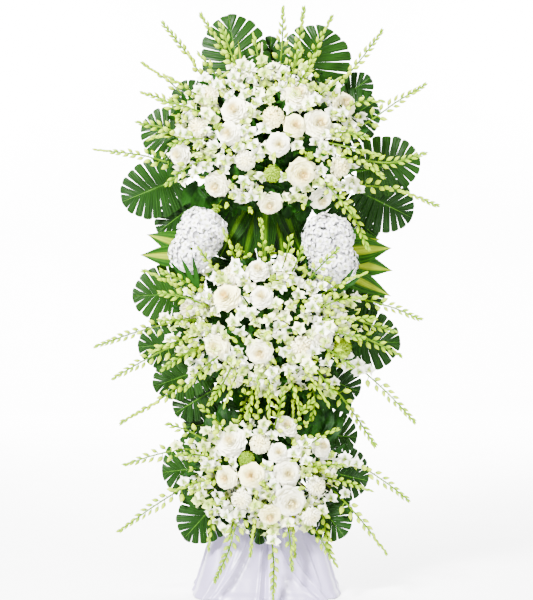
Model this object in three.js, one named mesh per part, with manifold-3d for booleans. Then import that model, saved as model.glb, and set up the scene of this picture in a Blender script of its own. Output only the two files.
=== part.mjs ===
// A standing funeral spray: three clusters of white flowers and split leaves, one above the other,
// in blocks of wet foam that a wooden post carries, with a satin skirt round its foot.
// Millimetres, +Z up, the front faces -Y, and the origin is on the floor under the middle.
// The lists of places below are measured from a line SETBACK in front of that origin.
import * as THREE from "three";
import { mergeVertices } from "three/addons/utils/BufferGeometryUtils.js";
import Module from "manifold-3d";

const wasm = await Module();
wasm.setup();

// Driving dimensions
const CLEARANCE = 0.35;
const FLOOR_FOOT = { side: 380, front: 150, back: 190, width: 44, height: 25 };
const POST = { width: 26, front: -5, top: 1445 };
const SHELF = { thickness: 12, inset: 12, front: 10, back: 9 };
const FOAM_FRONT = -65;
const FOAM_BACK = 5;
const SKIRT = { top: 326, hem: 2, cloth: 2, columns: 24, squareness: 6 };
const LEAF_THICKNESS = 1.2;
const LEAF_LEVEL = [15, 38, 61, -26];
const LEAF_LEAN = [20, 20, 20, 0];
const LEAF_ROOT = { depth: 14, step: 12 };
const DRAPED = { y: -94, lean: -60, rootX: 0.75, rootDepth: 18, rootDrop: 40 };
// A split blade: where it is widest and where its rib's last fork is, as shares of its length,
// how deep its notches go, its droop and arch, and the angles of its first lobe and of a slit
const BLADE = { widest: 0.42, rib: 0.86, notch: 0.3, droop: 7, arch: 5, first: 148, slit: 2.6 };
const PETIOLE_RADIUS = 2.6;
const PETIOLE_OVERLAP = 14;
const STEM_RADIUS = 2.2;
const SPRAY_RADIUS = 2.4;
const PEG_RADIUS = 5;
const BUNCH_RADIUS = 8;
const ROOT_DEPTH = 24;
const BUNCH_SPREAD = { x: 64, z: 34 };
const WELD = 0.004;
const FLORET_RADIUS = 31;
const SPIKE_LENGTH = 42;
const SETBACK = 21;

// Each foam block is centred on x = 0 at height z
const FOAMS = {
  top: { z: 1404, halfX: 110, halfZ: 60 },
  mid: { z: 812, halfX: 100, halfZ: 58 },
  bottom: { z: 388, halfX: 100, halfZ: 56 },
};

// The dome that the flowers of a cluster lie on: its middle, its half sizes and its depth, how
// many bunches share it, and the angles between which each bunch has a core
const DOMES = {
  top: { x: 0, z: 1395, halfX: 290, halfZ: 230, rim: -105, rise: 115, wedges: 4, turn: 0 },
  mid: { x: -5, z: 825, halfX: 270, halfZ: 220, rim: -105, rise: 110, wedges: 3, turn: 30 },
  bottom: { x: -10, z: 385, halfX: 230, halfZ: 180, rim: -125, rise: 90, wedges: 3, turn: 90 },
};
const CORE_ANGLES = {
  top: [[0, 90], [90, 180], [180, 270], [270, 360]],
  mid: [[30, 150], [150, 270], [270, 390]],
  bottom: [[90, 177], null, [3, 90]],
};

// The core of a bunch, which its blooms stand out of: how much of the dome it fills, where its
// back is, how far it stays behind the dome, the rings and columns of the four-petalled flowers
// in its relief, and how far their corners, petal ends and centres stand out
const CORE = {
  reach: 0.78,
  back: -88,
  behind: 19,
  rings: [0.05, 0.17, 0.29, 0.42, 0.54, 0.67, 0.78],
  columns: 6,
  relief: { corner: 13, petal: -11, centre: 2 },
  gap: 7,
};

// Split leaves: where the blade starts and ends in x and z, its half width, its lobes a side,
// and the level that it lies on: 0 to 2 from front to back, and 3 before the post. A fork holds
// the other leaves that grow from the same root.
const LEAVES = {
  top: [
    { base: [-75, 1545], tip: [-120, 1795], half: 110, lobes: 5, level: 0 },
    { base: [110, 1540], tip: [185, 1757], half: 122, lobes: 5, level: 0 },
    { base: [5, 1560], tip: [15, 1735], half: 55, lobes: 4, level: 2 },
    { base: [-180, 1445], tip: [-270, 1585], half: 80, lobes: 4, level: 1 },
    { base: [-220, 1388], tip: [-390, 1450], half: 92, lobes: 5, level: 0 },
    { base: [-265, 1285], tip: [-455, 1210], half: 95, lobes: 5, level: 1,
      fork: { base: [-195, 1225], tip: [-345, 1115], half: 66, lobes: 4, level: 2 } },
    { base: [205, 1440], tip: [345, 1528], half: 92, lobes: 4, level: 1,
      fork: { base: [190, 1500], tip: [330, 1605], half: 62, lobes: 4, level: 2 } },
    { base: [280, 1302], tip: [480, 1345], half: 95, lobes: 5, level: 0 },
    { base: [285, 1245], tip: [458, 1160], half: 94, lobes: 4, level: 1,
      fork: { base: [200, 1215], tip: [350, 1100], half: 64, lobes: 4, level: 2 } },
  ],
  mid: [
    { base: [-200, 925], tip: [-420, 915], half: 100, lobes: 5, level: 0,
      fork: { base: [-82, 905], tip: [-122, 1168], half: 72, lobes: 4, level: 2 } },
    { base: [-210, 768], tip: [-405, 755], half: 88, lobes: 4, level: 1 },
    { base: [-180, 695], tip: [-355, 630], half: 75, lobes: 4, level: 0 },
    { base: [-160, 625], tip: [-290, 545], half: 66, lobes: 4, level: 1 },
    { base: [205, 785], tip: [420, 768], half: 102, lobes: 5, level: 0,
      fork: [
        { base: [82, 905], tip: [112, 1166], half: 66, lobes: 4, level: 2 },
        { base: [190, 872], tip: [372, 928], half: 72, lobes: 4, level: 1 },
      ] },
    { base: [155, 672], tip: [295, 612], half: 75, lobes: 4, level: 1 },
  ],
  bottom: [
    { base: [-100, 525], tip: [-265, 498], half: 72, lobes: 4, level: 2 },
    { base: [150, 487], tip: [285, 472], half: 80, lobes: 4, level: 0 },
    { base: [-140, 388], tip: [-328, 362], half: 110, lobes: 5, level: 0 },
    { base: [170, 372], tip: [322, 332], half: 92, lobes: 4, level: 1 },
    { base: [-112, 331], tip: [-250, 184], half: 87, lobes: 5, draped: true },
    { base: [128, 322], tip: [236, 190], half: 82, lobes: 5, draped: true },
    { base: [-29, 317], tip: [-20, 166], half: 47, lobes: 4, draped: true },
    { base: [-45, 490], tip: [-62, 692], half: 68, lobes: 3, level: 3,
      fork: { base: [52, 490], tip: [82, 700], half: 68, lobes: 3, level: 3 } },
  ],
};

// Orchid sprays: the points that a stem follows, as x, y, z, from the foam to the tip
const SPRAYS = {
  top: {
    left: [
      [[-120, -40, 1345], [-265, -62, 1325], [-385, -75, 1348], [-512, -85, 1362]],
      [[-120, -40, 1375], [-235, -60, 1405], [-310, -70, 1430], [-385, -80, 1445]],
      [[-120, -40, 1405], [-250, -60, 1465], [-310, -70, 1515], [-370, -85, 1535]],
      [[-120, -40, 1435], [-235, -60, 1510], [-295, -75, 1570], [-370, -90, 1620]],
    ],
    up: [
      [[-75, -40, 1475], [-165, -60, 1555], [-260, -75, 1680], [-310, -90, 1740]],
      [[-40, -40, 1480], [-80, -60, 1585], [-130, -75, 1665], [-195, -90, 1765]],
      [[0, -40, 1480], [35, -60, 1600], [48, -75, 1700], [50, -90, 1784]],
      [[30, -40, 1480], [76, -60, 1610], [101, -75, 1710], [113, -90, 1784]],
    ],
    right: [
      [[80, -40, 1475], [120, -60, 1585], [160, -75, 1690], [195, -90, 1758]],
      [[120, -40, 1440], [220, -60, 1560], [300, -75, 1655], [345, -90, 1715]],
      [[122, -40, 1410], [275, -60, 1435], [405, -75, 1515], [475, -90, 1555]],
    ],
    low: [
      [[122, -40, 1385], [280, -60, 1335], [385, -75, 1325], [475, -85, 1350]],
      [[120, -40, 1360], [225, -60, 1270], [400, -75, 1243], [512, -90, 1196]],
      [[105, -40, 1335], [205, -75, 1235], [270, -95, 1150], [305, -105, 1070]],
    ],
  },
  mid: {
    left: [
      [[-110, -40, 850], [-225, -65, 915], [-310, -80, 965], [-365, -90, 990]],
      [[-110, -40, 830], [-235, -60, 840], [-385, -75, 810], [-512, -90, 766]],
      [[-110, -40, 800], [-280, -60, 765], [-355, -70, 730], [-460, -85, 670]],
      [[-110, -40, 775], [-205, -60, 690], [-325, -75, 600], [-435, -90, 535]],
    ],
    right: [
      [[110, -40, 850], [250, -65, 905], [375, -80, 885], [460, -90, 850]],
      [[110, -40, 825], [235, -60, 855], [315, -72, 830], [385, -85, 810]],
      [[110, -40, 800], [235, -60, 815], [330, -72, 775], [400, -85, 740]],
      [[110, -40, 775], [235, -60, 735], [365, -75, 625], [445, -90, 540]],
    ],
    low: [
      [[-60, -40, 745], [-48, -70, 660], [-62, -100, 600], [-78, -120, 540]],
      [[20, -40, 745], [62, -70, 660], [82, -100, 605], [80, -120, 550]],
      [[50, -40, 745], [130, -70, 650], [147, -100, 600], [137, -120, 545]],
      [[80, -40, 750], [180, -70, 660], [265, -90, 560], [325, -100, 470]],
    ],
  },
  bottom: {
    left: [
      [[-110, -45, 410], [-235, -70, 445], [-340, -85, 430], [-420, -95, 405]],
      [[-110, -50, 385], [-225, -130, 350], [-335, -150, 285], [-435, -160, 215]],
    ],
    right: [
      [[110, -45, 405], [250, -75, 410], [360, -90, 350], [425, -100, 300]],
      [[110, -50, 380], [205, -130, 325], [290, -155, 235], [355, -165, 150]],
    ],
  },
};

// The sprays that hang over the skirt leave the front of the lowest block
const HANGING = [
  [[-15, -80, 330], [-85, -175, 240], [-115, -195, 150], [-150, -205, 75]],
  [[-5, -80, 325], [15, -185, 210], [22, -205, 110], [20, -215, 25]],
  [[0, -80, 330], [60, -180, 240], [72, -200, 175], [75, -210, 110]],
  [[10, -80, 335], [115, -175, 255], [165, -195, 185], [205, -205, 120]],
];

// Roses and other round blooms of each cluster: x, z and radius
const ROSES = {
  top: [
    [-175, 1515, 32], [-95, 1470, 36], [-112, 1402, 31], [-205, 1420, 31], [-262, 1345, 30],
    [-150, 1250, 33], [-62, 1322, 30], [92, 1520, 36], [235, 1495, 33], [20, 1450, 32],
    [85, 1425, 30], [155, 1432, 38], [36, 1370, 30], [105, 1285, 38], [220, 1305, 31],
    [10, 1195, 31], [165, 1210, 30], [18, 1283, 27],
  ],
  mid: [
    [62, 1020, 28], [-25, 995, 30], [-105, 980, 30], [-120, 915, 36], [-15, 915, 30],
    [-235, 880, 27], [-150, 765, 33], [-20, 750, 33], [165, 790, 32], [228, 760, 31],
    [105, 765, 33], [-100, 670, 30],
  ],
  bottom: [
    [-105, 480, 38], [-60, 430, 24], [-20, 475, 30], [-45, 385, 33], [-120, 375, 30],
    [-75, 310, 30], [60, 525, 30], [62, 388, 35], [72, 305, 40], [10, 265, 28],
    [132, 262, 28], [148, 348, 29], [165, 465, 27], [35, 450, 26],
  ],
};

// Orchid flowers that fill the spaces between the blooms: x and z
const FILL = {
  top: [
    [-255, 1270], [250, 1430], [170, 1520], [250, 1245], [-70, 1210], [-235, 1480],
  ],
  mid: [
    [-170, 700], [210, 860], [-195, 825],
  ],
  bottom: [
    [-195, 320], [-205, 435], [210, 400], [-10, 330], [-120, 260],
  ],
};

// Green bud spikes that stand out between the blooms: x and z
const SPIKES = {
  top: [[-145, 1420], [128, 1335], [-155, 1180]],
  mid: [[-85, 1060], [15, 1055], [20, 970], [180, 965], [-225, 750]],
  bottom: [[-10, 535], [150, 410]],
};

// Strap leaves with a pale stripe at the waist: the height where one leaves its cane, its tip
// in x and z, and its half width
const STRAPS = {
  left: [
    { from: 1050, tip: [-372, 1107], half: 36 },
    { from: 1035, tip: [-392, 1043], half: 37 },
  ],
  right: [
    { from: 1075, tip: [352, 1092], half: 42 },
    { from: 1050, tip: [388, 1064], half: 44 },
    { from: 1035, tip: [392, 994], half: 40 },
    { from: 1020, tip: [386, 915], half: 34 },
  ],
};

// Narrow palm blades over the hydrangeas: tip in x and z, and half width
const PALM = {
  left: [
    { tip: [-292, 1025], half: 8 },
    { tip: [-258, 1038], half: 8 },
    { tip: [-222, 1048], half: 7 },
  ],
  right: [
    { tip: [268, 1008], half: 7 },
    { tip: [292, 985], half: 7 },
  ],
};

// Strap leaves that hang between the two upper clusters: start, tip and half width
const HANGING_STRAPS = [
  { from: [-3, -35, 1309], tip: [-152, -42, 1022], half: 36 },
  { from: [-2, -32, 1312], tip: [-84, -30, 968], half: 36 },
  { from: [0, -36, 1312], tip: [-8, -56, 958], half: 36 },
  { from: [2, -32, 1312], tip: [66, -30, 966], half: 37 },
  { from: [3, -35, 1309], tip: [118, -42, 1022], half: 34 },
];
const TOP_STRAP = { tip: [-88, -14, 1708], half: 15 };

// Two round hydrangea heads a side: x, y, z and radius
const HYDRANGEAS = {
  left: [[-198, -112, 1110, 73], [-230, -112, 1050, 64]],
  right: [[186, -114, 1090, 76], [204, -114, 1012, 72]],
};

const COLOURS = {
  wood: { color: 0xb58a5a, roughness: 0.7, metalness: 0 },
  foam: { color: 0x2f5a34, roughness: 0.95, metalness: 0 },
  satin: { color: 0xf1eff6, roughness: 0.35, metalness: 0 },
  leaf: { color: 0x1c5a22, roughness: 0.35, metalness: 0 },
  strap: { color: 0x6f9a1e, roughness: 0.4, metalness: 0 },
  petal: { color: 0xf8f5ea, roughness: 0.6, metalness: 0 },
  bud: { color: 0xc3d67a, roughness: 0.5, metalness: 0 },
};

// Solids
const vector = (p) => new THREE.Vector3(p[0], p[1], p[2]);

function signedVolume(positions, indices) {
  const corner = [new THREE.Vector3(), new THREE.Vector3(), new THREE.Vector3()];
  let total = 0;
  for (let i = 0; i < indices.length; i += 3) {
    corner.forEach((c, k) => c.fromArray(positions, 3 * indices[i + k]));
    total += corner[0].dot(corner[1].clone().cross(corner[2])) / 6;
  }
  return total;
}

function solid(geometry, weld = 1e-3) {
  const bare = geometry.clone();
  bare.deleteAttribute("normal");
  bare.deleteAttribute("uv");
  const merged = mergeVertices(bare, weld);
  const index = merged.index.array;
  const kept = [];
  for (let i = 0; i < index.length; i += 3) {
    const [a, b, c] = [index[i], index[i + 1], index[i + 2]];
    if (a !== b && b !== c && c !== a) kept.push(a, b, c);
  }
  const vertProperties = new Float32Array(merged.attributes.position.array);
  if (signedVolume(vertProperties, kept) < 0) kept.reverse();
  return new wasm.Manifold(
    new wasm.Mesh({ numProp: 3, vertProperties, triVerts: new Uint32Array(kept) }),
  );
}

const join = (solids) => solids.reduce((sum, next) => sum.add(next));

function largest(body) {
  const pieces = body.decompose();
  return pieces.reduce((best, next) => (next.volume() > best.volume() ? next : best));
}

function boxSolid(low, high) {
  const size = vector(high).sub(vector(low));
  const middle = vector(high).add(vector(low)).multiplyScalar(0.5);
  return solid(new THREE.BoxGeometry(size.x, size.y, size.z).translate(middle.x, middle.y, middle.z));
}

function tube(points, radius, sides, steps) {
  const outline = new THREE.Shape();
  for (let i = 0; i < sides; i++) {
    const angle = (2 * Math.PI * i) / sides;
    const at = [radius * Math.cos(angle), radius * Math.sin(angle)];
    if (i === 0) outline.moveTo(...at);
    else outline.lineTo(...at);
  }
  outline.closePath();
  const path =
    points.length === 2
      ? new THREE.LineCurve3(points[0], points[1])
      : new THREE.CatmullRomCurve3(points, false, "centripetal");
  return solid(new THREE.ExtrudeGeometry(outline, { steps, extrudePath: path, bevelEnabled: false }));
}

// The rim of a patch of triangles, as pairs of corners
function rimOf(triangles) {
  const edges = new Map();
  for (const [a, b, c] of triangles) {
    for (const [p, q] of [[a, b], [b, c], [c, a]]) {
      if (edges.has(`${q},${p}`)) edges.delete(`${q},${p}`);
      else edges.set(`${p},${q}`, [p, q]);
    }
  }
  return [...edges.values()];
}

// A solid from the triangles of its front, with walls from its rim back to a flat face at y
function backed(front, triangles, y, middle) {
  const count = front.length;
  const points = [...front, ...front.map((p) => p.clone().setY(y)), middle.clone().setY(y)];
  const faces = triangles.flat();
  for (const [p, q] of rimOf(triangles)) {
    faces.push(p, p + count, q, q, p + count, q + count, q + count, p + count, 2 * count);
  }
  return indexed(points, faces);
}

// A thin solid from the triangles of its front, with the same triangles on its back
function thickened(front, triangles, offset) {
  const count = front.length;
  const points = [...front, ...front.map((p) => p.clone().add(offset))];
  const faces = [];
  for (const [a, b, c] of triangles) faces.push(a, b, c, a + count, c + count, b + count);
  for (const [p, q] of rimOf(triangles)) faces.push(p, p + count, q, q, p + count, q + count);
  return indexed(points, faces);
}

function indexed(points, faces) {
  const geometry = new THREE.BufferGeometry().setFromPoints(points);
  geometry.setIndex(faces);
  return solid(geometry);
}

// Turns a shape made along +Z so that it looks along a direction, at a place
function aimed(geometry, place, direction) {
  const turn = new THREE.Quaternion().setFromUnitVectors(
    new THREE.Vector3(0, 0, 1),
    direction.clone().normalize(),
  );
  return geometry.applyMatrix4(new THREE.Matrix4().compose(place, turn, new THREE.Vector3(1, 1, 1)));
}

// A lathe form along +Z whose rings are pulled in and out, two columns to a petal
function petalled(rings, petals) {
  const columns = 2 * petals;
  const profile = rings.map((r) => new THREE.Vector2(r.radius, r.height));
  const geometry = new THREE.LatheGeometry(profile, columns);
  const place = geometry.attributes.position;
  const uv = geometry.attributes.uv;
  for (let i = 0; i < place.count; i++) {
    const ring = rings[Math.round(uv.getY(i) * (rings.length - 1))];
    const odd = Math.round(uv.getX(i) * columns) % 2 === (ring.phase ?? 0);
    const reach = odd ? (ring.notch ?? 1) : 1;
    const lift = odd ? (ring.dip ?? 0) : 0;
    place.setXYZ(i, place.getX(i) * reach, place.getY(i) + lift, place.getZ(i) * reach);
  }
  return geometry.rotateX(Math.PI / 2);
}

function rose(radius) {
  const rings = [
    { radius: 0, height: -0.75 },
    { radius: 1, height: 0.05, notch: 0.84, dip: 0.1 },
    { radius: 0.62, height: 0.42, notch: 0.74, dip: 0.12, phase: 1 },
    { radius: 0, height: 0.3 },
  ];
  const scaled = rings.map((r) => ({
    ...r,
    radius: r.radius * radius,
    height: r.height * radius,
    dip: (r.dip ?? 0) * radius,
  }));
  return petalled(scaled, 4);
}

function floret(radius, petals) {
  return petalled(
    [
      { radius: 0, height: -0.42 * radius },
      { radius, height: 0.06 * radius, notch: 0.45, dip: -0.1 * radius },
      { radius: 0, height: 0.12 * radius },
    ],
    petals,
  );
}

// A green head of buds in two tiers, raised from one lathe form
function budHead(length) {
  return petalled(
    [
      { radius: 0, height: 0 },
      { radius: 0.5 * length, height: 0.3 * length, notch: 0.5 },
      { radius: 0.2 * length, height: 0.5 * length },
      { radius: 0.34 * length, height: 0.68 * length, notch: 0.5, phase: 1 },
      { radius: 0, height: length },
    ],
    3,
  );
}

// Room that is already taken: capsules and balls, each with the node that it belongs to
const taken = [];

function nearest(a, b, c, d) {
  const u = b.clone().sub(a);
  const v = d.clone().sub(c);
  const w = a.clone().sub(c);
  const uu = u.dot(u) || 1e-9;
  const vv = v.dot(v) || 1e-9;
  const uv = u.dot(v);
  const across = uu * vv - uv * uv;
  const clamp = THREE.MathUtils.clamp;
  let s = across > 1e-9 ? clamp((uv * v.dot(w) - vv * u.dot(w)) / across, 0, 1) : 0;
  const t = clamp((uv * s + v.dot(w)) / vv, 0, 1);
  s = clamp((uv * t - u.dot(w)) / uu, 0, 1);
  return a.clone().addScaledVector(u, s).distanceTo(c.clone().addScaledVector(v, t));
}

function isFree(a, b, radius, node) {
  return taken.every((t) => t.node === node || nearest(a, b, t.a, t.b) > radius + t.radius + 1);
}

function take(a, b, radius, node) {
  taken.push({ a, b, radius, node });
}

// Foam holes: every stem that enters a block adds its own
const holes = { top: [], mid: [], bottom: [] };

function hole(block, points, radius, sides, steps) {
  const deeper = points[0].clone().sub(points[1]).setLength(0.6).add(points[0]);
  holes[block].push(tube([deeper, ...points.slice(1)], radius + 2 * CLEARANCE, sides, steps));
}

// The point on the way from a place to the middle of a foam block that lies in the block
function inFoam(block, place, depthY) {
  const foam = FOAMS[block];
  const dx = place.x;
  const dz = place.z - foam.z;
  const reach = Math.max(Math.abs(dx) / foam.halfX, Math.abs(dz) / foam.halfZ, 1e-6);
  const edge = new THREE.Vector3(dx / reach, 0, dz / reach);
  const inward = edge.clone().normalize().multiplyScalar(-ROOT_DEPTH);
  return edge.add(inward).add(new THREE.Vector3(0, depthY, foam.z));
}

const nodes = [];

function node(name, body, colour) {
  nodes.push({ name, body, colour });
}

// Stand
function stand() {
  const { side, front, back, width, height } = FLOOR_FOOT;
  const half = width / 2;
  const middle = POST.front + POST.width / 2;
  const notch = height / 2;
  const long = boxSolid([-half, -front, 0], [half, back, height]);
  const cross = boxSolid([-side / 2, middle - half, 0], [side / 2, middle + half, height]);
  const lapTop = boxSolid(
    [-half - 1, middle - half - CLEARANCE, notch - CLEARANCE / 2],
    [half + 1, middle + half + CLEARANCE, height + 1],
  );
  const lapUnder = boxSolid(
    [-half - CLEARANCE, middle - half - 1, -1],
    [half + CLEARANCE, middle + half + 1, notch + CLEARANCE / 2],
  );
  const postHole = postBox(CLEARANCE, notch - 1, POST.top);
  node("foot_front_back", long.subtract(lapTop), "wood");
  node("foot_sideways", cross.subtract(lapUnder).subtract(postHole), "wood");
  node("post", postBox(0, notch + CLEARANCE, POST.top), "wood");
}

function postBox(grow, bottom, top) {
  return boxSolid(
    [-POST.width / 2 - grow, POST.front - grow, bottom],
    [POST.width / 2 + grow, POST.front + POST.width + grow, top + grow],
  );
}

function shelf(block) {
  const foam = FOAMS[block];
  const top = foam.z - foam.halfZ - CLEARANCE;
  const post = postBox(CLEARANCE, 0, POST.top);
  if (block === "bottom") return boardInSkirt(top).subtract(post);
  const board = boxSolid(
    [-foam.halfX + SHELF.inset, FOAM_FRONT + SHELF.front, top - SHELF.thickness],
    [foam.halfX - SHELF.inset, POST.front + POST.width + SHELF.back, top],
  );
  return board.subtract(post);
}

// The lowest shelf has the outline of the skirt's top, because the skirt is tacked to its edge
function boardInSkirt(top) {
  const section = skirtSection(SKIRT.top);
  const outline = new THREE.Shape();
  for (let i = 0; i < SKIRT.columns; i++) {
    const angle = (2 * Math.PI * i) / SKIRT.columns;
    const reach = skirtRadius(angle, section) - SKIRT.cloth - CLEARANCE;
    const at = [reach * Math.cos(angle), section.y + reach * Math.sin(angle)];
    if (i === 0) outline.moveTo(...at);
    else outline.lineTo(...at);
  }
  outline.closePath();
  const board = new THREE.ExtrudeGeometry(outline, { depth: SHELF.thickness, bevelEnabled: false });
  return solid(board.translate(0, 0, top - SHELF.thickness));
}

// The skirt's section at a height: its half width, half depth and middle
function skirtSection(z) {
  const heights = [0, 60, 137, 195, SKIRT.top];
  const halves = [228, 207, 184, 160, 116];
  const fronts = [-185, -150, -122, -106, -76];
  const backs = [215, 178, 142, 112, 48];
  const at = (list) => {
    const i = Math.min(heights.findIndex((h) => h >= z - 1e-6), heights.length - 1);
    if (i <= 0) return list[0];
    const t = (z - heights[i - 1]) / (heights[i] - heights[i - 1]);
    return list[i - 1] + t * (list[i] - list[i - 1]);
  };
  const front = at(fronts);
  const back = at(backs);
  return { halfX: at(halves), halfY: (back - front) / 2, y: (back + front) / 2 };
}

function skirtRadius(angle, section) {
  const n = SKIRT.squareness;
  const across = Math.abs(Math.cos(angle) / section.halfX) ** n;
  const along = Math.abs(Math.sin(angle) / section.halfY) ** n;
  return (across + along) ** (-1 / n);
}

function skirt() {
  const heights = [SKIRT.hem, 60, 137, 195, SKIRT.top];
  const outer = heights.map((z) => ({ z, inset: 0 }));
  const inner = [...heights].reverse().map((z) => ({ z, inset: SKIRT.cloth }));
  const ring = [...outer, ...inner, outer[0]];
  const profile = ring.map((r) => new THREE.Vector2(200 - r.inset, r.z));
  const geometry = new THREE.LatheGeometry(profile, SKIRT.columns);
  const place = geometry.attributes.position;
  const uv = geometry.attributes.uv;
  for (let i = 0; i < place.count; i++) {
    const { z, inset } = ring[Math.round(uv.getY(i) * (ring.length - 1))];
    const column = Math.round(uv.getX(i) * SKIRT.columns) % SKIRT.columns;
    const angle = (2 * Math.PI * column) / SKIRT.columns;
    const section = skirtSection(z);
    const fall = 1 - z / SKIRT.top;
    const fold = fall * (5 * Math.cos(7 * angle + 0.6) - 4);
    const reach = skirtRadius(angle, section) - inset + fold;
    place.setXYZ(i, reach * Math.cos(angle), section.y + reach * Math.sin(angle), z);
  }
  return solid(geometry);
}

// Leaves
function leafFrame(base, tip) {
  const along = tip.clone().sub(base).normalize();
  const facing = new THREE.Vector3(0, -1, 0);
  const normal = facing.addScaledVector(along, -facing.dot(along)).normalize();
  const across = along.clone().cross(normal);
  return { along, normal, across };
}

function splitBlade(base, tip, half, lobes) {
  const { along, normal, across } = leafFrame(base, tip);
  const length = base.distanceTo(tip);
  const front = [];
  const triangles = [];
  const point = (w, s) => {
    const side = Math.abs(w) / half;
    const height = -BLADE.droop * side * side + BLADE.arch * Math.sin((Math.PI * s) / length);
    const at = base.clone().addScaledVector(across, w).addScaledVector(along, s);
    front.push(at.addScaledVector(normal, height));
    return front.length - 1;
  };
  const middle = BLADE.widest * length;
  const outline = (turn) => [
    half * Math.sin(turn),
    middle + (length - middle) * Math.cos(turn),
  ];
  const rib = [];
  for (let i = 0; i < lobes; i++) rib.push(point(0, (BLADE.rib * length * i) / lobes));
  const end = point(0, length);
  const first = THREE.MathUtils.degToRad(BLADE.first);
  const gap = THREE.MathUtils.degToRad(BLADE.slit);
  for (const side of [1, -1]) {
    const turnAt = (i) => first * (1 - i / lobes);
    const notch = [];
    for (let i = 0; i < lobes; i++) {
      const [w, s] = outline(turnAt(i));
      const from = (BLADE.rib * length * i) / lobes;
      notch.push(point(side * BLADE.notch * w, from + BLADE.notch * (s - from)));
    }
    const face = (...corners) => {
      const ordered = side > 0 ? corners : [...corners].reverse();
      for (let k = 1; k < ordered.length - 1; k++) {
        triangles.push([ordered[0], ordered[k], ordered[k + 1]]);
      }
    };
    for (let i = 0; i < lobes; i++) {
      const [w1, s1] = outline(turnAt(i) - (i ? gap : 0));
      const near = point(side * w1, s1);
      if (i === lobes - 1) {
        face(rib[i], notch[i], near, end);
        break;
      }
      const [w2, s2] = outline(turnAt(i + 1) + gap);
      const far = point(side * w2, s2);
      face(notch[i], near, far, notch[i + 1]);
      face(rib[i], notch[i], notch[i + 1], rib[i + 1]);
    }
  }
  return thickened(front, triangles, normal.clone().multiplyScalar(-LEAF_THICKNESS));
}

function splitLeaf(block, leaf) {
  const parts = [];
  let root;
  for (const part of [leaf, leaf.fork ?? []].flat()) {
    const { base: [x, z], tip: [tipX, tipZ], half, lobes, level } = part;
    const y = leaf.draped ? DRAPED.y : LEAF_LEVEL[level];
    const lean = leaf.draped ? DRAPED.lean : LEAF_LEAN[level];
    const base = new THREE.Vector3(x, y, z);
    const tip = new THREE.Vector3(tipX, y + lean, tipZ);
    root ??= leaf.draped
      ? new THREE.Vector3(
          DRAPED.rootX * x,
          FOAM_FRONT + DRAPED.rootDepth,
          FOAMS[block].z - DRAPED.rootDrop,
        )
      : inFoam(block, base, FOAM_BACK - LEAF_ROOT.depth - LEAF_ROOT.step * level);
    const { along, normal } = leafFrame(base, tip);
    const inside = base.clone().addScaledVector(along, PETIOLE_OVERLAP).addScaledVector(normal, 1);
    const points = [root, base, inside];
    hole(block, points, PETIOLE_RADIUS, 3, 2);
    take(root, base, PETIOLE_RADIUS, "leaf");
    parts.push(splitBlade(base, tip, half, lobes), tube(points, PETIOLE_RADIUS, 3, 2));
  }
  return join(parts);
}

// A long plain blade, two strips wide, arched forward and pointed
function strapBlade(base, tip, half, arch) {
  const { along, normal, across } = leafFrame(base, tip);
  const length = base.distanceTo(tip);
  const widths = [0.2, 1];
  const front = [];
  const triangles = [];
  const point = (w, s, h) => {
    const at = base.clone().addScaledVector(across, w).addScaledVector(along, s);
    front.push(at.addScaledVector(normal, h));
  };
  widths.forEach((width, i) => {
    const s = (length * i) / widths.length;
    const rise = arch * Math.sin((Math.PI * s) / length);
    point(-half * width, s, rise + 0.06 * half);
    point(0, s, rise);
    point(half * width, s, rise + 0.06 * half);
  });
  point(0, length, 0);
  for (let i = 0; i < widths.length - 1; i++) {
    const a = 3 * i;
    triangles.push([a, a + 1, a + 4], [a, a + 4, a + 3], [a + 1, a + 2, a + 5], [a + 1, a + 5, a + 4]);
  }
  const last = 3 * (widths.length - 1);
  triangles.push([last, last + 1, last + 3], [last + 1, last + 2, last + 3]);
  return thickened(front, triangles, normal.clone().multiplyScalar(-LEAF_THICKNESS));
}

// The strap leaves of one side grow from a cane, and the palm blades from a fork of it
function waistLeaves(side) {
  const name = `waist_leaves_${side}`;
  const sign = side === "left" ? -1 : 1;
  const at = (x, y, z) => new THREE.Vector3(sign * x, y, z);
  const root = at(70, -22, FOAMS.mid.z + FOAMS.mid.halfZ - ROOT_DEPTH);
  const fork = at(112, -28, 900);
  const cane = [root, fork, at(166, -24, 965), at(174, -22, 1078)];
  const fanStem = [fork, at(186, -72, 916), at(200, -190, 916)];
  const parts = [tube(cane, 4, 4, 5), tube(fanStem, 2.6, 3, 3)];
  hole("mid", cane, 4, 4, 5);
  for (const route of [cane, fanStem]) {
    for (let i = 0; i < route.length - 1; i++) take(route[i], route[i + 1], 5, name);
  }
  STRAPS[side].forEach((strap, i) => {
    const base = at(171, -21 - 4 * (i % 2), strap.from);
    const tip = new THREE.Vector3(strap.tip[0], -10 - 12 * (i % 2), strap.tip[1]);
    parts.push(strapBlade(base, tip, strap.half, 6));
  });
  for (const blade of PALM[side]) {
    const tip = new THREE.Vector3(blade.tip[0], -196, blade.tip[1]);
    parts.push(strapBlade(fanStem[2], tip, blade.half, 4));
  }
  return { name, body: join(parts) };
}

// Strap leaves that hang from the front of the top block, all on one short cane
function hangingStraps() {
  const name = "waist_leaves_centre";
  const root = new THREE.Vector3(0, -34, FOAMS.top.z - FOAMS.top.halfZ + ROOT_DEPTH);
  const end = new THREE.Vector3(0, -34, 1306);
  const parts = [tube([root, end], 4, 4, 1)];
  hole("top", [root, end], 4, 4, 1);
  take(root, end, 4, name);
  for (const blade of HANGING_STRAPS) {
    const start = vector(blade.from);
    const tip = vector(blade.tip);
    parts.push(strapBlade(start, tip, blade.half, 6));
    take(start, tip, 0.5 * blade.half, name);
  }
  return { name, body: join(parts) };
}

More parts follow.
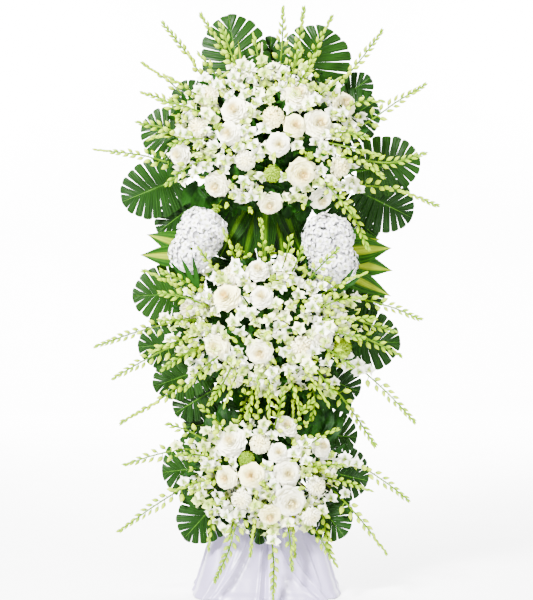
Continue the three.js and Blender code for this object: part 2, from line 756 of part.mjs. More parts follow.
function topStrap() {
  const root = new THREE.Vector3(-50, -24, FOAMS.top.z + FOAMS.top.halfZ - ROOT_DEPTH);
  const base = new THREE.Vector3(-61, -10, 1484);
  hole("top", [root, base], 3, 4, 1);
  take(root, base, 3, "top_strap");
  const start = base.clone().lerp(root, 0.1);
  const blade = strapBlade(start, vector(TOP_STRAP.tip), TOP_STRAP.half, 5);
  return tube([root, base], 3, 4, 1).add(blade);
}

// A round head whose surface is raised into small petals by turns out and in
function hydrangeaHead(at, radius) {
  const rings = [{ radius: 0, height: -radius }];
  const count = 6;
  for (let i = 1; i <= count; i++) {
    const angle = (Math.PI * i) / (count + 1);
    rings.push({
      radius: radius * 1.08 * Math.sin(angle),
      height: -radius * Math.cos(angle),
      notch: 0.84,
      phase: i % 2,
    });
  }
  rings.push({ radius: 0, height: radius });
  return solid(aimed(petalled(rings, 6), at, new THREE.Vector3(0, -1, 0)));
}

function hydrangea(side) {
  const name = `hydrangea_${side}`;
  const sign = side === "left" ? -1 : 1;
  const [high, low] = HYDRANGEAS[side].map((h) => ({ at: vector(h), radius: h[3] }));
  const root = new THREE.Vector3(sign * 45, -48, FOAMS.mid.z + FOAMS.mid.halfZ - ROOT_DEPTH);
  const bend = new THREE.Vector3(sign * 100, -66, 925);
  const stem = [root, bend, low.at, high.at];
  const parts = [tube(stem, 3.5, 4, 6)];
  hole("mid", stem, 3.5, 4, 6);
  take(root, bend, 3.5, name);
  take(bend, low.at, 3.5, name);
  for (const head of [high, low]) {
    parts.push(hydrangeaHead(head.at, head.radius));
    take(head.at, head.at, head.radius * 1.12, name);
  }
  return { name, body: join(parts) };
}

// Flowers
function perpendicular(direction, turn) {
  const forward = new THREE.Vector3(0, -1, 0);
  const side = direction.clone().cross(forward).normalize();
  const front = side.clone().cross(direction).normalize();
  return front.multiplyScalar(Math.cos(turn)).addScaledVector(side, Math.sin(turn));
}

// A stem of three-sided rings along a curve, pointed at its end, with buds drawn out of its rings
function buddingStem(curve, radius, rings, firstBud) {
  const last = rings - 1;
  const way = curve.getSpacedPoints(last);
  const { tangents, normals, binormals } = curve.computeFrenetFrames(last, false);
  const profile = [new THREE.Vector2(0, 0)];
  for (let i = 0; i < rings; i++) profile.push(new THREE.Vector2(radius, i));
  profile.push(new THREE.Vector2(0, rings));
  const geometry = new THREE.LatheGeometry(profile, 3);
  const place = geometry.attributes.position;
  const uv = geometry.attributes.uv;
  for (let i = 0; i < place.count; i++) {
    const ring = Math.round(uv.getY(i) * (rings + 1)) - 1;
    const column = Math.round(uv.getX(i) * 3) % 3;
    const at = THREE.MathUtils.clamp(ring, 0, last);
    const angle = (2 * Math.PI * column) / 3;
    const out = normals[at].clone().multiplyScalar(Math.cos(angle));
    out.addScaledVector(binormals[at], Math.sin(angle));
    const budding = ring >= firstBud && ring < last && column === ring % 3;
    const reach = ring < 0 || ring > last ? 0 : budding ? 21 - 1.4 * (ring - firstBud) : radius;
    const point = way[at].clone().addScaledVector(out, reach);
    if (budding) point.addScaledVector(tangents[at], 15);
    if (ring > last) point.addScaledVector(tangents[last], 16);
    if (ring < 0) point.addScaledVector(tangents[0], -2);
    place.setXYZ(i, point.x, point.y, point.z);
  }
  return solid(geometry);
}

function orchidSpray(name, points, radius) {
  const curve = new THREE.CatmullRomCurve3(points.map(vector), false, "centripetal");
  const long = curve.getLength() > 300;
  const rings = long ? 9 : 7;
  const parts = [buddingStem(curve, radius, rings, long ? 4 : 3)];
  const way = curve.getSpacedPoints(rings - 1);
  const place = long ? 3 : 2;
  const along = way[place + 1].clone().sub(way[place - 1]).normalize();
  const out = perpendicular(along, 0.4);
  const flower = way[place].clone().addScaledVector(out, 8);
  parts.push(solid(aimed(floret(25, 5), flower, out)));
  take(flower, flower, 25, name);
  for (let i = 0; i < way.length - 1; i++) {
    take(way[i], way[i + 1], i < place ? radius + 0.6 : 14, name);
  }
  return parts;
}

function sprayGroup(block, name, routes, foot, entry) {
  const parts = [tube([foot, entry], PEG_RADIUS, 4, 1)];
  hole(block, [foot, entry], PEG_RADIUS, 4, 1);
  take(foot, entry, PEG_RADIUS, name);
  for (const points of routes) {
    const start = entry.clone().lerp(foot, 0.12);
    parts.push(...orchidSpray(name, [start.toArray(), ...points.slice(1)], SPRAY_RADIUS));
  }
  return join(parts);
}

function domeDepth(dome, x, z) {
  const across = (x - dome.x) / dome.halfX;
  const up = (z - dome.z) / dome.halfZ;
  return dome.rim - dome.rise * Math.sqrt(Math.max(0, 1 - across * across - up * up));
}

// A stem from the apex to a bloom's back: straight, or bent round what is in its way
function stemRoute(from, to, name) {
  for (const bend of [0, 14, -14, 26, -26, 38, -38]) {
    for (const turn of [0, 1, 2, 3]) {
      const way = to.clone().sub(from);
      const side = perpendicular(way.clone().normalize(), (turn * Math.PI) / 4);
      const middle = from.clone().lerp(to, 0.5).addScaledVector(side, bend);
      const free =
        isFree(from, middle, STEM_RADIUS, name) && isFree(middle, to, STEM_RADIUS, name);
      if (free) return bend === 0 ? [from, to] : [from, middle, to];
    }
  }
  return null;
}

// The core of a bunch: one wedge of the dome, raised and sunk in turn like the petals on it
function bunchCore(dome, angles) {
  const [start, end] = angles.map(THREE.MathUtils.degToRad);
  const across = CORE.columns + 1;
  const front = [];
  CORE.rings.forEach((share, ring) => {
    for (let column = 0; column < across; column++) {
      const angle = start + ((end - start) * column) / CORE.columns;
      const edge = 1 / Math.hypot(Math.cos(angle) / dome.halfX, Math.sin(angle) / dome.halfZ);
      const reach = share * edge;
      const side = column === 0 ? 1 : column === CORE.columns ? -1 : 0;
      const x = dome.x + reach * Math.cos(angle) - side * CORE.gap * Math.sin(angle);
      const z = dome.z + reach * Math.sin(angle) + side * CORE.gap * Math.cos(angle);
      const kinds = [CORE.relief.corner, CORE.relief.petal, CORE.relief.centre];
      const relief = kinds[(ring % 2) + (column % 2)];
      const depth = dome.rim - dome.rise * Math.sqrt(1 - share * share) + CORE.behind + relief;
      front.push(new THREE.Vector3(x, depth, z));
    }
  });
  const triangles = [];
  for (let ring = 1; ring < CORE.rings.length; ring += 2) {
    for (let column = 1; column < CORE.columns; column += 2) {
      const at = (up, over) => (ring + up) * across + column + over;
      const round = [
        at(-1, -1), at(0, -1), at(1, -1), at(1, 0), at(1, 1), at(0, 1), at(-1, 1), at(-1, 0),
      ];
      round.forEach((corner, i) => triangles.push([at(0, 0), corner, round[(i + 1) % 8]]));
    }
  }
  const middle = Math.floor(CORE.rings.length / 2) * across + CORE.columns / 2;
  return backed(front, triangles, CORE.back, front[middle]);
}

function flowerBunch(block, index) {
  const dome = DOMES[block];
  const name = `flowers_${block}_${index + 1}`;
  const wedge = 360 / dome.wedges;
  const inWedge = ([x, z]) => {
    const angle = THREE.MathUtils.radToDeg(Math.atan2(z - dome.z, x - dome.x));
    return Math.floor((((angle - dome.turn) % 360) + 360) % 360 / wedge) === index;
  };
  const heading = THREE.MathUtils.degToRad(dome.turn + wedge * (index + 0.5));
  const foam = FOAMS[block];
  const apex = new THREE.Vector3(
    dome.x + BUNCH_SPREAD.x * Math.cos(heading),
    FOAM_FRONT - 8,
    foam.z + BUNCH_SPREAD.z * Math.sin(heading),
  );
  const coreAngles = CORE_ANGLES[block][index];
  const foot = apex.clone().setY(FOAM_FRONT + ROOT_DEPTH);
  const head = coreAngles ? apex.clone().setY(CORE.back - 6) : apex;
  const parts = [tube([foot, head], BUNCH_RADIUS, 6, 1)];
  if (coreAngles) parts.push(bunchCore(dome, coreAngles));
  hole(block, [foot, head], BUNCH_RADIUS, 6, 1);
  take(foot, head, BUNCH_RADIUS, name);

  // Where the stem of a bloom starts: within the core, or at the peg's end
  const startOf = (x, z) => {
    const low = block === "bottom" && z < dome.z + 10;
    if (!coreAngles || low) return head.clone().add(new THREE.Vector3(0, 5, 0));
    const share = Math.hypot((x - dome.x) / dome.halfX, (z - dome.z) / dome.halfZ);
    const pull = Math.min(1, (CORE.reach - 0.12) / share);
    const start = new THREE.Vector3(dome.x + (x - dome.x) * pull, 0, dome.z + (z - dome.z) * pull);
    return start.setY(0.5 * (domeDepth(dome, start.x, start.z) + CORE.behind + CORE.back));
  };

  const blooms = [];
  const place = (x, z, radius, lift, make) => {
    const out = new THREE.Vector3((x - dome.x) / dome.halfX, -1.3, (z - dome.z) / dome.halfZ);
    out.normalize();
    for (let push = 0; push < 14; push++) {
      const at = new THREE.Vector3(x, domeDepth(dome, x, z) - lift - 7 * push, z);
      const back = at.clone().addScaledVector(out, -0.6 * radius);
      if (!isFree(at, at, radius, name)) continue;
      if (blooms.some((b) => b.at.distanceTo(at) < 0.86 * (b.radius + radius))) continue;
      const route = stemRoute(startOf(x, z), back, name);
      if (!route) continue;
      take(at, at, radius, name);
      blooms.push({ at, radius });
      for (let i = 0; i < route.length - 1; i++) take(route[i], route[i + 1], STEM_RADIUS, name);
      route[route.length - 1] = back.clone().addScaledVector(out, 0.2 * radius);
      parts.push(tube(route, STEM_RADIUS, 3, route.length - 1));
      parts.push(make(at, out));
      return;
    }
  };
  for (const [x, z, radius] of ROSES[block].filter(inWedge)) {
    place(x, z, radius, 0, (at, out) => solid(aimed(rose(radius), at, out)));
  }
  for (const [x, z] of FILL[block].filter(inWedge)) {
    place(x, z, FLORET_RADIUS, -8, (at, out) => solid(aimed(floret(FLORET_RADIUS, 5), at, out)));
  }
  for (const [x, z] of SPIKES[block].filter(inWedge)) {
    place(x, z, SPIKE_LENGTH / 2, 12, (at, out) => {
      const end = at.addScaledVector(out, -SPIKE_LENGTH / 2);
      return solid(aimed(budHead(SPIKE_LENGTH), end, out));
    });
  }
  return { name, body: join(parts) };
}

// The build, from what is held hardest to what gives way
stand();
node("skirt", skirt(), "satin");

const stakeLow = new THREE.Vector3(-14, -14, FOAMS.top.z + FOAMS.top.halfZ - ROOT_DEPTH);
const stakeHigh = new THREE.Vector3(-14, 0, 1702);
node("top_stake", tube([stakeLow, stakeHigh], 2.5, 6, 1), "wood");
hole("top", [stakeLow, stakeHigh], 2.5, 6, 1);
take(stakeLow, stakeHigh, 2.5, "top_stake");

for (const [block, leaves] of Object.entries(LEAVES)) {
  leaves.forEach((leaf, i) => node(`leaf_${block}_${i + 1}`, splitLeaf(block, leaf), "leaf"));
}

for (const side of ["left", "right"]) {
  const leaves = waistLeaves(side);
  node(leaves.name, leaves.body, "strap");
  const heads = hydrangea(side);
  node(heads.name, heads.body, "petal");
}

const centre = hangingStraps();
node(centre.name, centre.body, "leaf");
node("top_strap", topStrap(), "strap");

const ENTRIES = {
  top: {
    left: [[-80, -30, 1390], [-120, -42, 1390]],
    up: [[-30, -36, 1435], [-30, -46, 1476]],
    right: [[80, -30, 1432], [120, -42, 1440]],
    low: [[80, -30, 1366], [120, -42, 1358]],
  },
  mid: {
    left: [[-70, -30, 810], [-110, -42, 810]],
    right: [[70, -30, 812], [110, -42, 812]],
    low: [[20, -38, 790], [20, -52, 732]],
  },
  bottom: {
    left: [[-70, -30, 398], [-110, -45, 398]],
    right: [[70, -30, 396], [110, -45, 396]],
  },
};
for (const [block, groups] of Object.entries(SPRAYS)) {
  for (const [group, routes] of Object.entries(groups)) {
    const [foot, entry] = ENTRIES[block][group].map(vector);
    const name = `orchids_${block}_${group}`;
    node(name, sprayGroup(block, name, routes, foot, entry), "bud");
  }
}
const hangingFoot = new THREE.Vector3(14, -40, 348);
const hangingEntry = new THREE.Vector3(14, -76, 344);
node("orchids_hanging", sprayGroup("bottom", "orchids_hanging", HANGING, hangingFoot, hangingEntry), "bud");

for (const [block, dome] of Object.entries(DOMES)) {
  for (let i = 0; i < dome.wedges; i++) {
    const { name, body } = flowerBunch(block, i);
    node(name, body, "petal");
  }
}

for (const [block, foam] of Object.entries(FOAMS)) {
  const stems = join(holes[block]);
  node(`shelf_${block}`, shelf(block).subtract(stems), "wood");
  const brick = boxSolid(
    [-foam.halfX, FOAM_FRONT, foam.z - foam.halfZ],
    [foam.halfX, FOAM_BACK, foam.z + foam.halfZ],
  );
  node(`foam_${block}`, brick.subtract(postBox(CLEARANCE, 0, POST.top)).subtract(stems), "foam");
}

function geometryOf(body) {
  const { vertProperties, triVerts } = body.getMesh();
  const geometry = new THREE.BufferGeometry();
  geometry.setAttribute("position", new THREE.BufferAttribute(new Float32Array(vertProperties), 3));
  geometry.setIndex([...triVerts]);
  return geometry;
}

const group = new THREE.Group();
for (const { name, body, colour } of nodes) {
  const welded = solid(geometryOf(largest(body)), WELD);
  const geometry = geometryOf(welded);
  geometry.translate(0, SETBACK, 0);
  geometry.computeVertexNormals();
  const mesh = new THREE.Mesh(geometry, new THREE.MeshStandardMaterial(COLOURS[colour]));
  mesh.name = name;
  group.add(mesh);
}

export default group;
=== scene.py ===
import math
import bpy
import numpy as np
from mathutils import Matrix


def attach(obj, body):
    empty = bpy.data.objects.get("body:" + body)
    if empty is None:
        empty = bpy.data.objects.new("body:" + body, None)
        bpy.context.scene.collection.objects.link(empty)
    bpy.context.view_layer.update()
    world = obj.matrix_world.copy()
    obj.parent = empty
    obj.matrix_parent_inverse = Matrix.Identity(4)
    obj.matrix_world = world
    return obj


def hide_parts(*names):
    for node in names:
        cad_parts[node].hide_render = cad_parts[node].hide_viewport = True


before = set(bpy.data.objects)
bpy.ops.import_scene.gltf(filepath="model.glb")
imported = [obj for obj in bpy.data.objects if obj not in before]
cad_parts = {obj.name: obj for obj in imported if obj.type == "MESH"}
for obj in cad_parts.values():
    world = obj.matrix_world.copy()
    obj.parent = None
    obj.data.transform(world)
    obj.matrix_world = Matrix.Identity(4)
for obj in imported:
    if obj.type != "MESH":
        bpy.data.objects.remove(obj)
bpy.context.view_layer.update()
rng = np.random.default_rng(20)

MM = 0.001
TINY = 1e-12
GOLDEN_ANGLE = 2.39996
FRONT = np.array([0.0, -1.0, 0.0])
# Tubes start their sides square to this direction, which none of them follows
SEAM = np.array([0.13, -1.0, 0.21])
SIGNS = {"left": -1, "right": 1}
# How far the part's frame lies behind the millimetre lists
SETBACK = 21.0

# Foam blocks: middle height, half width and half height
FOAMS = {"top": (1404, 110, 60), "mid": (812, 100, 58), "bottom": (388, 100, 56)}
FOAM_FRONT = -65.0
FOAM_BACK = 5.0
ROOT_DEPTH = 24.0
WAIST_ROOT = FOAMS["mid"][0] + FOAMS["mid"][2] - ROOT_DEPTH

# Domes of flowers: x, z, half width, half height, rim, rise
DOMES = {
    "top": (0, 1395, 290, 230, -105, 115),
    "mid": (-5, 825, 270, 220, -105, 110),
    "bottom": (-10, 385, 230, 180, -125, 90),
}
# Wedges of each dome: how many, and the angle where the first one starts
WEDGES = {"top": (4, 0), "mid": (3, 30), "bottom": (3, 90)}
# Relief cores: the angles that the core of each wedge covers
CORE_ANGLES = {
    "top": [(0, 90), (90, 180), (180, 270), (270, 360)],
    "mid": [(30, 150), (150, 270), (270, 390)],
    "bottom": [(90, 177), None, (3, 90)],
}
CORE_BACK = -88.0
SHORT_SPRAYS = {"top": 22, "mid": 24, "bottom": 16}
COLLAR = 34
# Dark leaves that hang between the clusters: foot x and z, heading and length
FILLERS = {
    "top": [
        (-185, 1262, -110, 110), (-160, 1245, -95, 105), (-128, 1240, -100, 100), (-100, 1235, -85, 90),
        (70, 1235, -95, 90), (98, 1240, -85, 105), (125, 1240, -100, 105), (150, 1250, -80, 100),
        (190, 1262, -70, 95), (-215, 1270, -120, 90),
    ],
    "mid": [
        (110, 672, -80, 110), (140, 680, -65, 110), (165, 690, -50, 100), (85, 665, -95, 105),
        (-85, 665, -90, 100), (-120, 675, -110, 100), (40, 660, -85, 90), (-30, 660, -95, 90),
        (155, 655, -68, 118), (180, 652, -58, 118), (205, 645, -62, 112), (130, 650, -85, 112),
    ],
    "bottom": [
        (-150, 470, 115, 90), (150, 480, 65, 85), (180, 300, -40, 80), (-180, 310, -140, 80),
        (110, 475, 88, 125), (135, 480, 80, 130), (160, 475, 72, 120), (185, 465, 60, 100),
        (-120, 480, 100, 110), (80, 480, 96, 110),
    ],
}

# Split leaves: base x and z, tip x and z, half width, level (4 is draped over the skirt); a
# second row is a leaf that forks from the same root
LEAVES = {
    "top": [
        [(-75, 1545, -120, 1795, 110, 0)], [(110, 1540, 185, 1757, 122, 0)],
        [(5, 1560, 15, 1735, 55, 2)], [(-180, 1445, -270, 1585, 80, 1)],
        [(-220, 1388, -390, 1450, 92, 0)],
        [(-265, 1285, -455, 1210, 95, 1), (-195, 1225, -345, 1115, 66, 2)],
        [(205, 1440, 345, 1528, 92, 1), (190, 1500, 330, 1605, 62, 2)],
        [(280, 1302, 480, 1345, 95, 0)],
        [(285, 1245, 458, 1160, 94, 1), (200, 1215, 350, 1100, 64, 2)],
    ],
    "mid": [
        [(-200, 925, -420, 915, 100, 0), (-82, 905, -122, 1168, 72, 2)],
        [(-210, 768, -405, 755, 88, 1)],
        [(-180, 695, -355, 630, 75, 0)], [(-160, 625, -290, 545, 66, 1)],
        [(205, 785, 420, 768, 102, 0), (82, 905, 112, 1166, 66, 2), (190, 872, 372, 928, 72, 1)],
        [(155, 672, 295, 612, 75, 1)],
    ],
    "bottom": [
        [(-100, 525, -265, 498, 72, 2)], [(150, 487, 285, 472, 80, 0)],
        [(-140, 388, -328, 362, 110, 0)], [(170, 372, 322, 332, 92, 1)],
        [(-112, 331, -250, 184, 87, 4)], [(128, 322, 236, 190, 82, 4)],
        [(-29, 317, -20, 166, 47, 4)],
        [(-45, 490, -62, 692, 68, 3), (52, 490, 82, 700, 68, 3)],
    ],
}
DRAPED = 4
LEAF_LEVEL = (15.0, 38.0, 61.0, -26.0, -94.0)
LEAF_LEAN = (20.0, 20.0, 20.0, 0.0, -60.0)
# Painted shade: how light each level's split leaves are painted; the levels that lie behind or between
# other parts are painted darker
LEAF_SHADE_TONE = (0.7, 0.35, 0.1, 0.15, 0.45)
# A blade's form, as shares of its length: where it is widest, its rib's end and its slits' start
WIDEST = 0.42
RIB = 0.86
SLIT_START = 0.42
FIRST_LOBE = math.radians(148)
ARCH = 5
DROOP = 7

# Orchid sprays: a group's foot in the foam, where it leaves the foam, and the points that each
# stem follows; a bare tip goes on from the last point
SPRAYS = {
    "orchids_top_left": ((-80, -30, 1390), (-120, -42, 1390), [
        [(-265, -62, 1325), (-385, -75, 1348), (-512, -85, 1362)],
        [(-235, -60, 1405), (-310, -70, 1430), (-385, -80, 1445)],
        [(-250, -60, 1465), (-310, -70, 1515), (-370, -85, 1535)],
        [(-235, -60, 1510), (-295, -75, 1570), (-370, -90, 1620)],
    ]),
    "orchids_top_up": ((-30, -36, 1435), (-30, -46, 1476), [
        [(-165, -60, 1555), (-260, -75, 1680), (-310, -90, 1740)],
        [(-80, -60, 1585), (-130, -75, 1665), (-195, -90, 1765)],
        [(35, -60, 1600), (48, -75, 1700), (50, -90, 1784)],
        [(76, -60, 1610), (101, -75, 1710), (113, -90, 1784)],
    ]),
    "orchids_top_right": ((80, -30, 1432), (120, -42, 1440), [
        [(120, -60, 1585), (160, -75, 1690), (195, -90, 1758)],
        [(220, -60, 1560), (300, -75, 1655), (345, -90, 1715)],
        [(275, -60, 1435), (405, -75, 1515), (475, -90, 1555)],
    ]),
    "orchids_top_low": ((80, -30, 1366), (120, -42, 1358), [
        [(280, -60, 1335), (385, -75, 1325), (475, -85, 1350)],
        [(225, -60, 1270), (400, -75, 1243), (512, -90, 1196)],
        [(205, -75, 1235), (270, -95, 1150), (305, -105, 1070)],
    ]),
    "orchids_mid_left": ((-70, -30, 810), (-110, -42, 810), [
        [(-225, -65, 915), (-310, -80, 965), (-365, -90, 990)],
        [(-235, -60, 840), (-385, -75, 810), (-512, -90, 766)],
        [(-280, -60, 765), (-355, -70, 730), (-460, -85, 670)],
        [(-205, -60, 690), (-325, -75, 600), (-435, -90, 535)],
    ]),
    "orchids_mid_right": ((70, -30, 812), (110, -42, 812), [
        [(250, -65, 905), (375, -80, 885), (460, -90, 850)],
        [(235, -60, 855), (315, -72, 830), (385, -85, 810)],
        [(235, -60, 815), (330, -72, 775), (400, -85, 740)],
        [(235, -60, 735), (365, -75, 625), (445, -90, 540)],
    ]),
    "orchids_mid_low": ((20, -38, 790), (20, -52, 732), [
        [(-48, -70, 660), (-62, -100, 600), (-78, -120, 540)],
        [(62, -70, 660), (82, -100, 605), (80, -120, 550)],
        [(130, -70, 650), (147, -100, 600), (137, -120, 545)],
        [(180, -70, 660), (265, -90, 560), (325, -100, 470)],
    ]),
    "orchids_bottom_left": ((-70, -30, 398), (-110, -45, 398), [
        [(-235, -70, 445), (-340, -85, 430), (-420, -95, 405)],
        [(-225, -130, 350), (-335, -150, 285), (-435, -160, 215)],
    ]),
    "orchids_bottom_right": ((70, -30, 396), (110, -45, 396), [
        [(250, -75, 410), (360, -90, 350), (425, -100, 300)],
        [(205, -130, 325), (290, -155, 235), (355, -165, 150)],
    ]),
    "orchids_hanging": ((14, -40, 348), (14, -76, 344), [
        [(-85, -175, 240), (-115, -195, 150), (-150, -205, 75)],
        [(15, -185, 210), (22, -205, 110), (20, -215, 25)],
        [(60, -180, 240), (72, -200, 175), (75, -210, 110)],
        [(115, -175, 255), (165, -195, 185), (205, -205, 120)],
    ]),
}
SPRAY_TIP = 9

# Round blooms of each cluster: x, y, z and radius of the middle of each
ROSES = {
    "top": [
        (92, -194, 1520, 36), (235, -150, 1495, 33), (20, -216, 1450, 32), (85, -214, 1425, 30),
        (155, -200, 1432, 38), (-175, -174, 1515, 32), (-95, -207, 1470, 36),
        (-112, -211, 1402, 31), (-205, -185, 1420, 31), (-262, -147, 1345, 30),
        (-150, -172, 1250, 33), (-62, -211, 1322, 30), (36, -218, 1370, 30),
        (105, -197, 1285, 38), (220, -165, 1305, 31), (10, -162, 1195, 31),
        (165, -125, 1210, 30), (18, -205, 1283, 27),
    ],
    "mid": [
        (62, -148, 1020, 28), (-25, -174, 995, 30), (-105, -172, 980, 30), (-120, -194, 915, 36),
        (-15, -205, 915, 30), (-235, -156, 880, 27), (-150, -193, 765, 33), (-20, -208, 750, 33),
        (-100, -173, 670, 30), (165, -189, 790, 32), (228, -150, 760, 31), (105, -201, 765, 33),
    ],
    "bottom": [
        (-105, -192, 480, 38), (-60, -210, 430, 24), (-20, -203, 475, 30), (-45, -228, 385, 33),
        (-120, -204, 375, 30), (-75, -203, 310, 30), (72, -220, 305, 40), (10, -227, 265, 28),
        (132, -223, 262, 28), (60, -174, 525, 30), (62, -210, 388, 35), (148, -188, 348, 29),
        (165, -168, 465, 27), (35, -207, 450, 26),
    ],
}
# Round heads that are green: the cluster and the place in its list
GREEN_HEADS = {("top", 17), ("bottom", 1), ("mid", 10)}
# Petals of a rose, from its outer layer: how many, reach, height, spread and roll of the rim
ROSE_LAYERS = [
    (5, 1.00, 0.02, 0.86, 0.20), (5, 0.90, 0.26, 0.88, 0.17), (5, 0.78, 0.46, 0.92, 0.14),
    (5, 0.66, 0.61, 0.95, 0.12), (5, 0.54, 0.72, 0.95, 0.10), (4, 0.43, 0.80, 1.10, 0.08),
    (4, 0.32, 0.86, 1.15, 0.06), (3, 0.21, 0.89, 1.40, 0.04), (3, 0.11, 0.91, 1.6, 0.0),
]
# Kinds in the marks of an orchid flower
PETAL, LIP = 0.0, 1.0
# Loose orchid flowers: x, y and z
LOOSE_FLORETS = {
    "top": [
        (250, -153, 1430), (170, -166, 1520), (-235, -149, 1480), (-255, -97, 1270),
        (-70, -159, 1210), (250, -125, 1245),
    ],
    "mid": [(-170, -158, 700), (-195, -175, 825), (210, -161, 860)],
    "bottom": [
        (-195, -173, 320), (-205, -158, 435), (-10, -203, 330), (-120, -200, 260),
        (210, -142, 400),
    ],
}
# Flowers that hang over the skirt's top: x and z
LOW_FLOWERS = [
    (-168, 262), (-150, 236), (-126, 214), (-100, 238), (-82, 262), (-66, 218), (-40, 240), (-14, 226),
    (10, 246), (4, 208), (34, 222), (52, 244), (76, 216), (98, 242), (122, 222), (146, 248), (70, 268),
    (-30, 268), (168, 272), (-112, 268),
]
# Short sprays over the skirt: x and z where one leaves the flowers, and where it ends
LOW_SPRAYS = [
    (-158, 262, -174, 160), (-32, 262, -48, 142), (76, 262, 86, 140), (160, 270, 192, 138),
    (-96, 255, -108, 196),
]
# Green bud spikes: x, y and z
SPIKES = {
    "top": [(-145, -237, 1420), (-155, -117, 1180), (128, -216, 1335)],
    "mid": [
        (-85, -117, 1060), (15, -117, 1055), (20, -199, 970), (180, -191, 965),
        (-225, -169, 750),
    ],
    "bottom": [(-10, -187, 535), (150, -200, 410)],
}

# Strap leaves: height on the cane, tip x and z, half width
STRAPS = {
    "left": [(1050, -372, 1107, 36), (1035, -392, 1043, 37)],
    "right": [
        (1075, 352, 1092, 42), (1050, 388, 1064, 44), (1035, 392, 994, 40), (1020, 386, 915, 34),
    ],
}
# Palm blades: tip x and z, half width
PALM = {
    "left": [(-292, 1025, 8), (-258, 1038, 8), (-222, 1048, 7)],
    "right": [(268, 1008, 7), (292, 985, 7)],
}
# Straps between the upper clusters: start, tip and half width
HANGING_STRAPS = [
    ((-3, -35, 1309), (-152, -42, 1022), 36), ((-2, -32, 1312), (-84, -30, 968), 36),
    ((0, -36, 1312), (-8, -56, 958), 36), ((2, -32, 1312), (66, -30, 966), 37),
    ((3, -35, 1309), (118, -42, 1022), 34),
]
# Hydrangea heads, the upper one first: x, y, z and radius
HYDRANGEAS = {
    "left": [(-198, -112, 1110, 73), (-230, -112, 1050, 64)],
    "right": [(186, -114, 1090, 76), (204, -114, 1012, 72)],
}

# The skirt's heights, with its half width, front and back at each
SKIRT_HEM = 2
SKIRT_TOP = 326
SKIRT_HEIGHTS = [0, 60, 137, 195, SKIRT_TOP]
SKIRT_REACH = [
    [228, 207, 184, 160, 116],
    [-185, -150, -122, -106, -76],
    [215, 178, 142, 112, 48],
]
# Pleats: angle from +X seen from above, width, height, slant and bend of each
PLEATS = [
    (-1.66, 0.026, 11, 0.05, 0.0), (-1.60, 0.020, 6, 0.12, 0.1), (-1.28, 0.022, 9, -0.62, 0.3),
    (-1.10, 0.026, 12, -0.50, 0.2), (-0.98, 0.020, 8, -0.28, 0.0), (-2.02, 0.030, 6, 0.42, -0.3),
    (-2.30, 0.026, 9, 0.16, 0.0), (-0.80, 0.022, 7, 0.0, 0.0), (-0.35, 0.04, 8, 0.1, 0.0),
    (0.25, 0.04, 8, 0.0, 0.1), (0.95, 0.04, 8, 0.1, 0.0), (1.45, 0.04, 8, -0.1, 0.0),
    (2.05, 0.04, 8, 0.05, 0.0), (2.75, 0.04, 8, -0.1, 0.0), (3.35, 0.05, 8, 0.1, 0.0),
]

# The stage: half its size, the flat floor round the part, and the wall behind
HALF_STAGE = 12000
FLAT_FLOOR = 3000
WALL = 8600
WALL_TOP = 8000
WALL_BEND = 1400


# Shapes: each is (points, quads, triangles, marks), and a mark is three numbers for the shaders
def vec(*p):
    return np.array(p, float)


def unit(v):
    return v / (np.linalg.norm(v) + TINY)


def stacked(*values):
    """Values that broadcast together, side by side along a last axis."""
    return np.stack(np.broadcast_arrays(*values), -1)


def spans(rows, columns, low=-1.0):
    """Shares from 0 to 1, one for each row, and from low to 1, one for each column."""
    return np.linspace(0, 1, rows + 1)[:, None], np.linspace(low, 1, columns + 1)[None]


def grid_shape(points, *marks, closed=False):
    """A shape from rows of points; closed joins the last column to the first."""
    rows, columns = points.shape[:2]
    index = np.arange(rows * columns).reshape(rows, columns)
    beside = np.roll(index, -1, 1)
    quads = np.stack([index[:-1], beside[:-1], beside[1:], index[1:]], -1)
    if not closed:
        quads = quads[:, :-1]
    marks = np.broadcast_to(stacked(*marks), points.shape)
    return points.reshape(-1, 3), quads.reshape(-1, 4), np.zeros((0, 3), int), marks.reshape(-1, 3)


def merged(shapes):
    count = 0
    moved = []
    for p, q, t, m in shapes:
        moved.append((p, q + count, t + count, m))
        count += len(p)
    return tuple(np.concatenate(column) for column in zip(*moved))


def turned(out, spin=0.0, up=(0, 0, 1)):
    """A turn whose third column is out and whose second leans towards up, then spun about out."""
    z = unit(vec(*out))
    x = np.cross(vec(*up), z)
    if np.linalg.norm(x) < 1e-3:
        x = np.cross(vec(1, 0, 0), z)
    x = unit(x)
    y = np.cross(z, x)
    c, s = math.cos(spin), math.sin(spin)
    return np.stack([c * x + s * y, c * y - s * x, z], 1)


def laid_along(aim, other):
    """A turn that lays +X along aim, with +Y square to aim and other."""
    across = unit(np.cross(aim, other))
    return np.stack([aim, across, np.cross(aim, across)], 1)


def to_front(way):
    """The direction square to way that looks most to the front."""
    return unit(FRONT - way * FRONT.dot(way))


def placed(shape, turn, place, size=1.0, tone=None):
    p, q, t, m = shape
    if tone is not None:
        m = m.copy()
        m[:, 2] = tone
    return (p * size) @ turn.T + place, q, t, m


def with_kind(shape, kind):
    p, q, t, m = shape
    m = m.copy()
    m[:, 1] = kind
    return p, q, t, m


def about_z(shape, angle, lift=0.0):
    c, s = math.cos(angle), math.sin(angle)
    return placed(shape, np.array([[c, -s, 0], [s, c, 0], [0, 0, 1.0]]), vec(0, 0, lift))


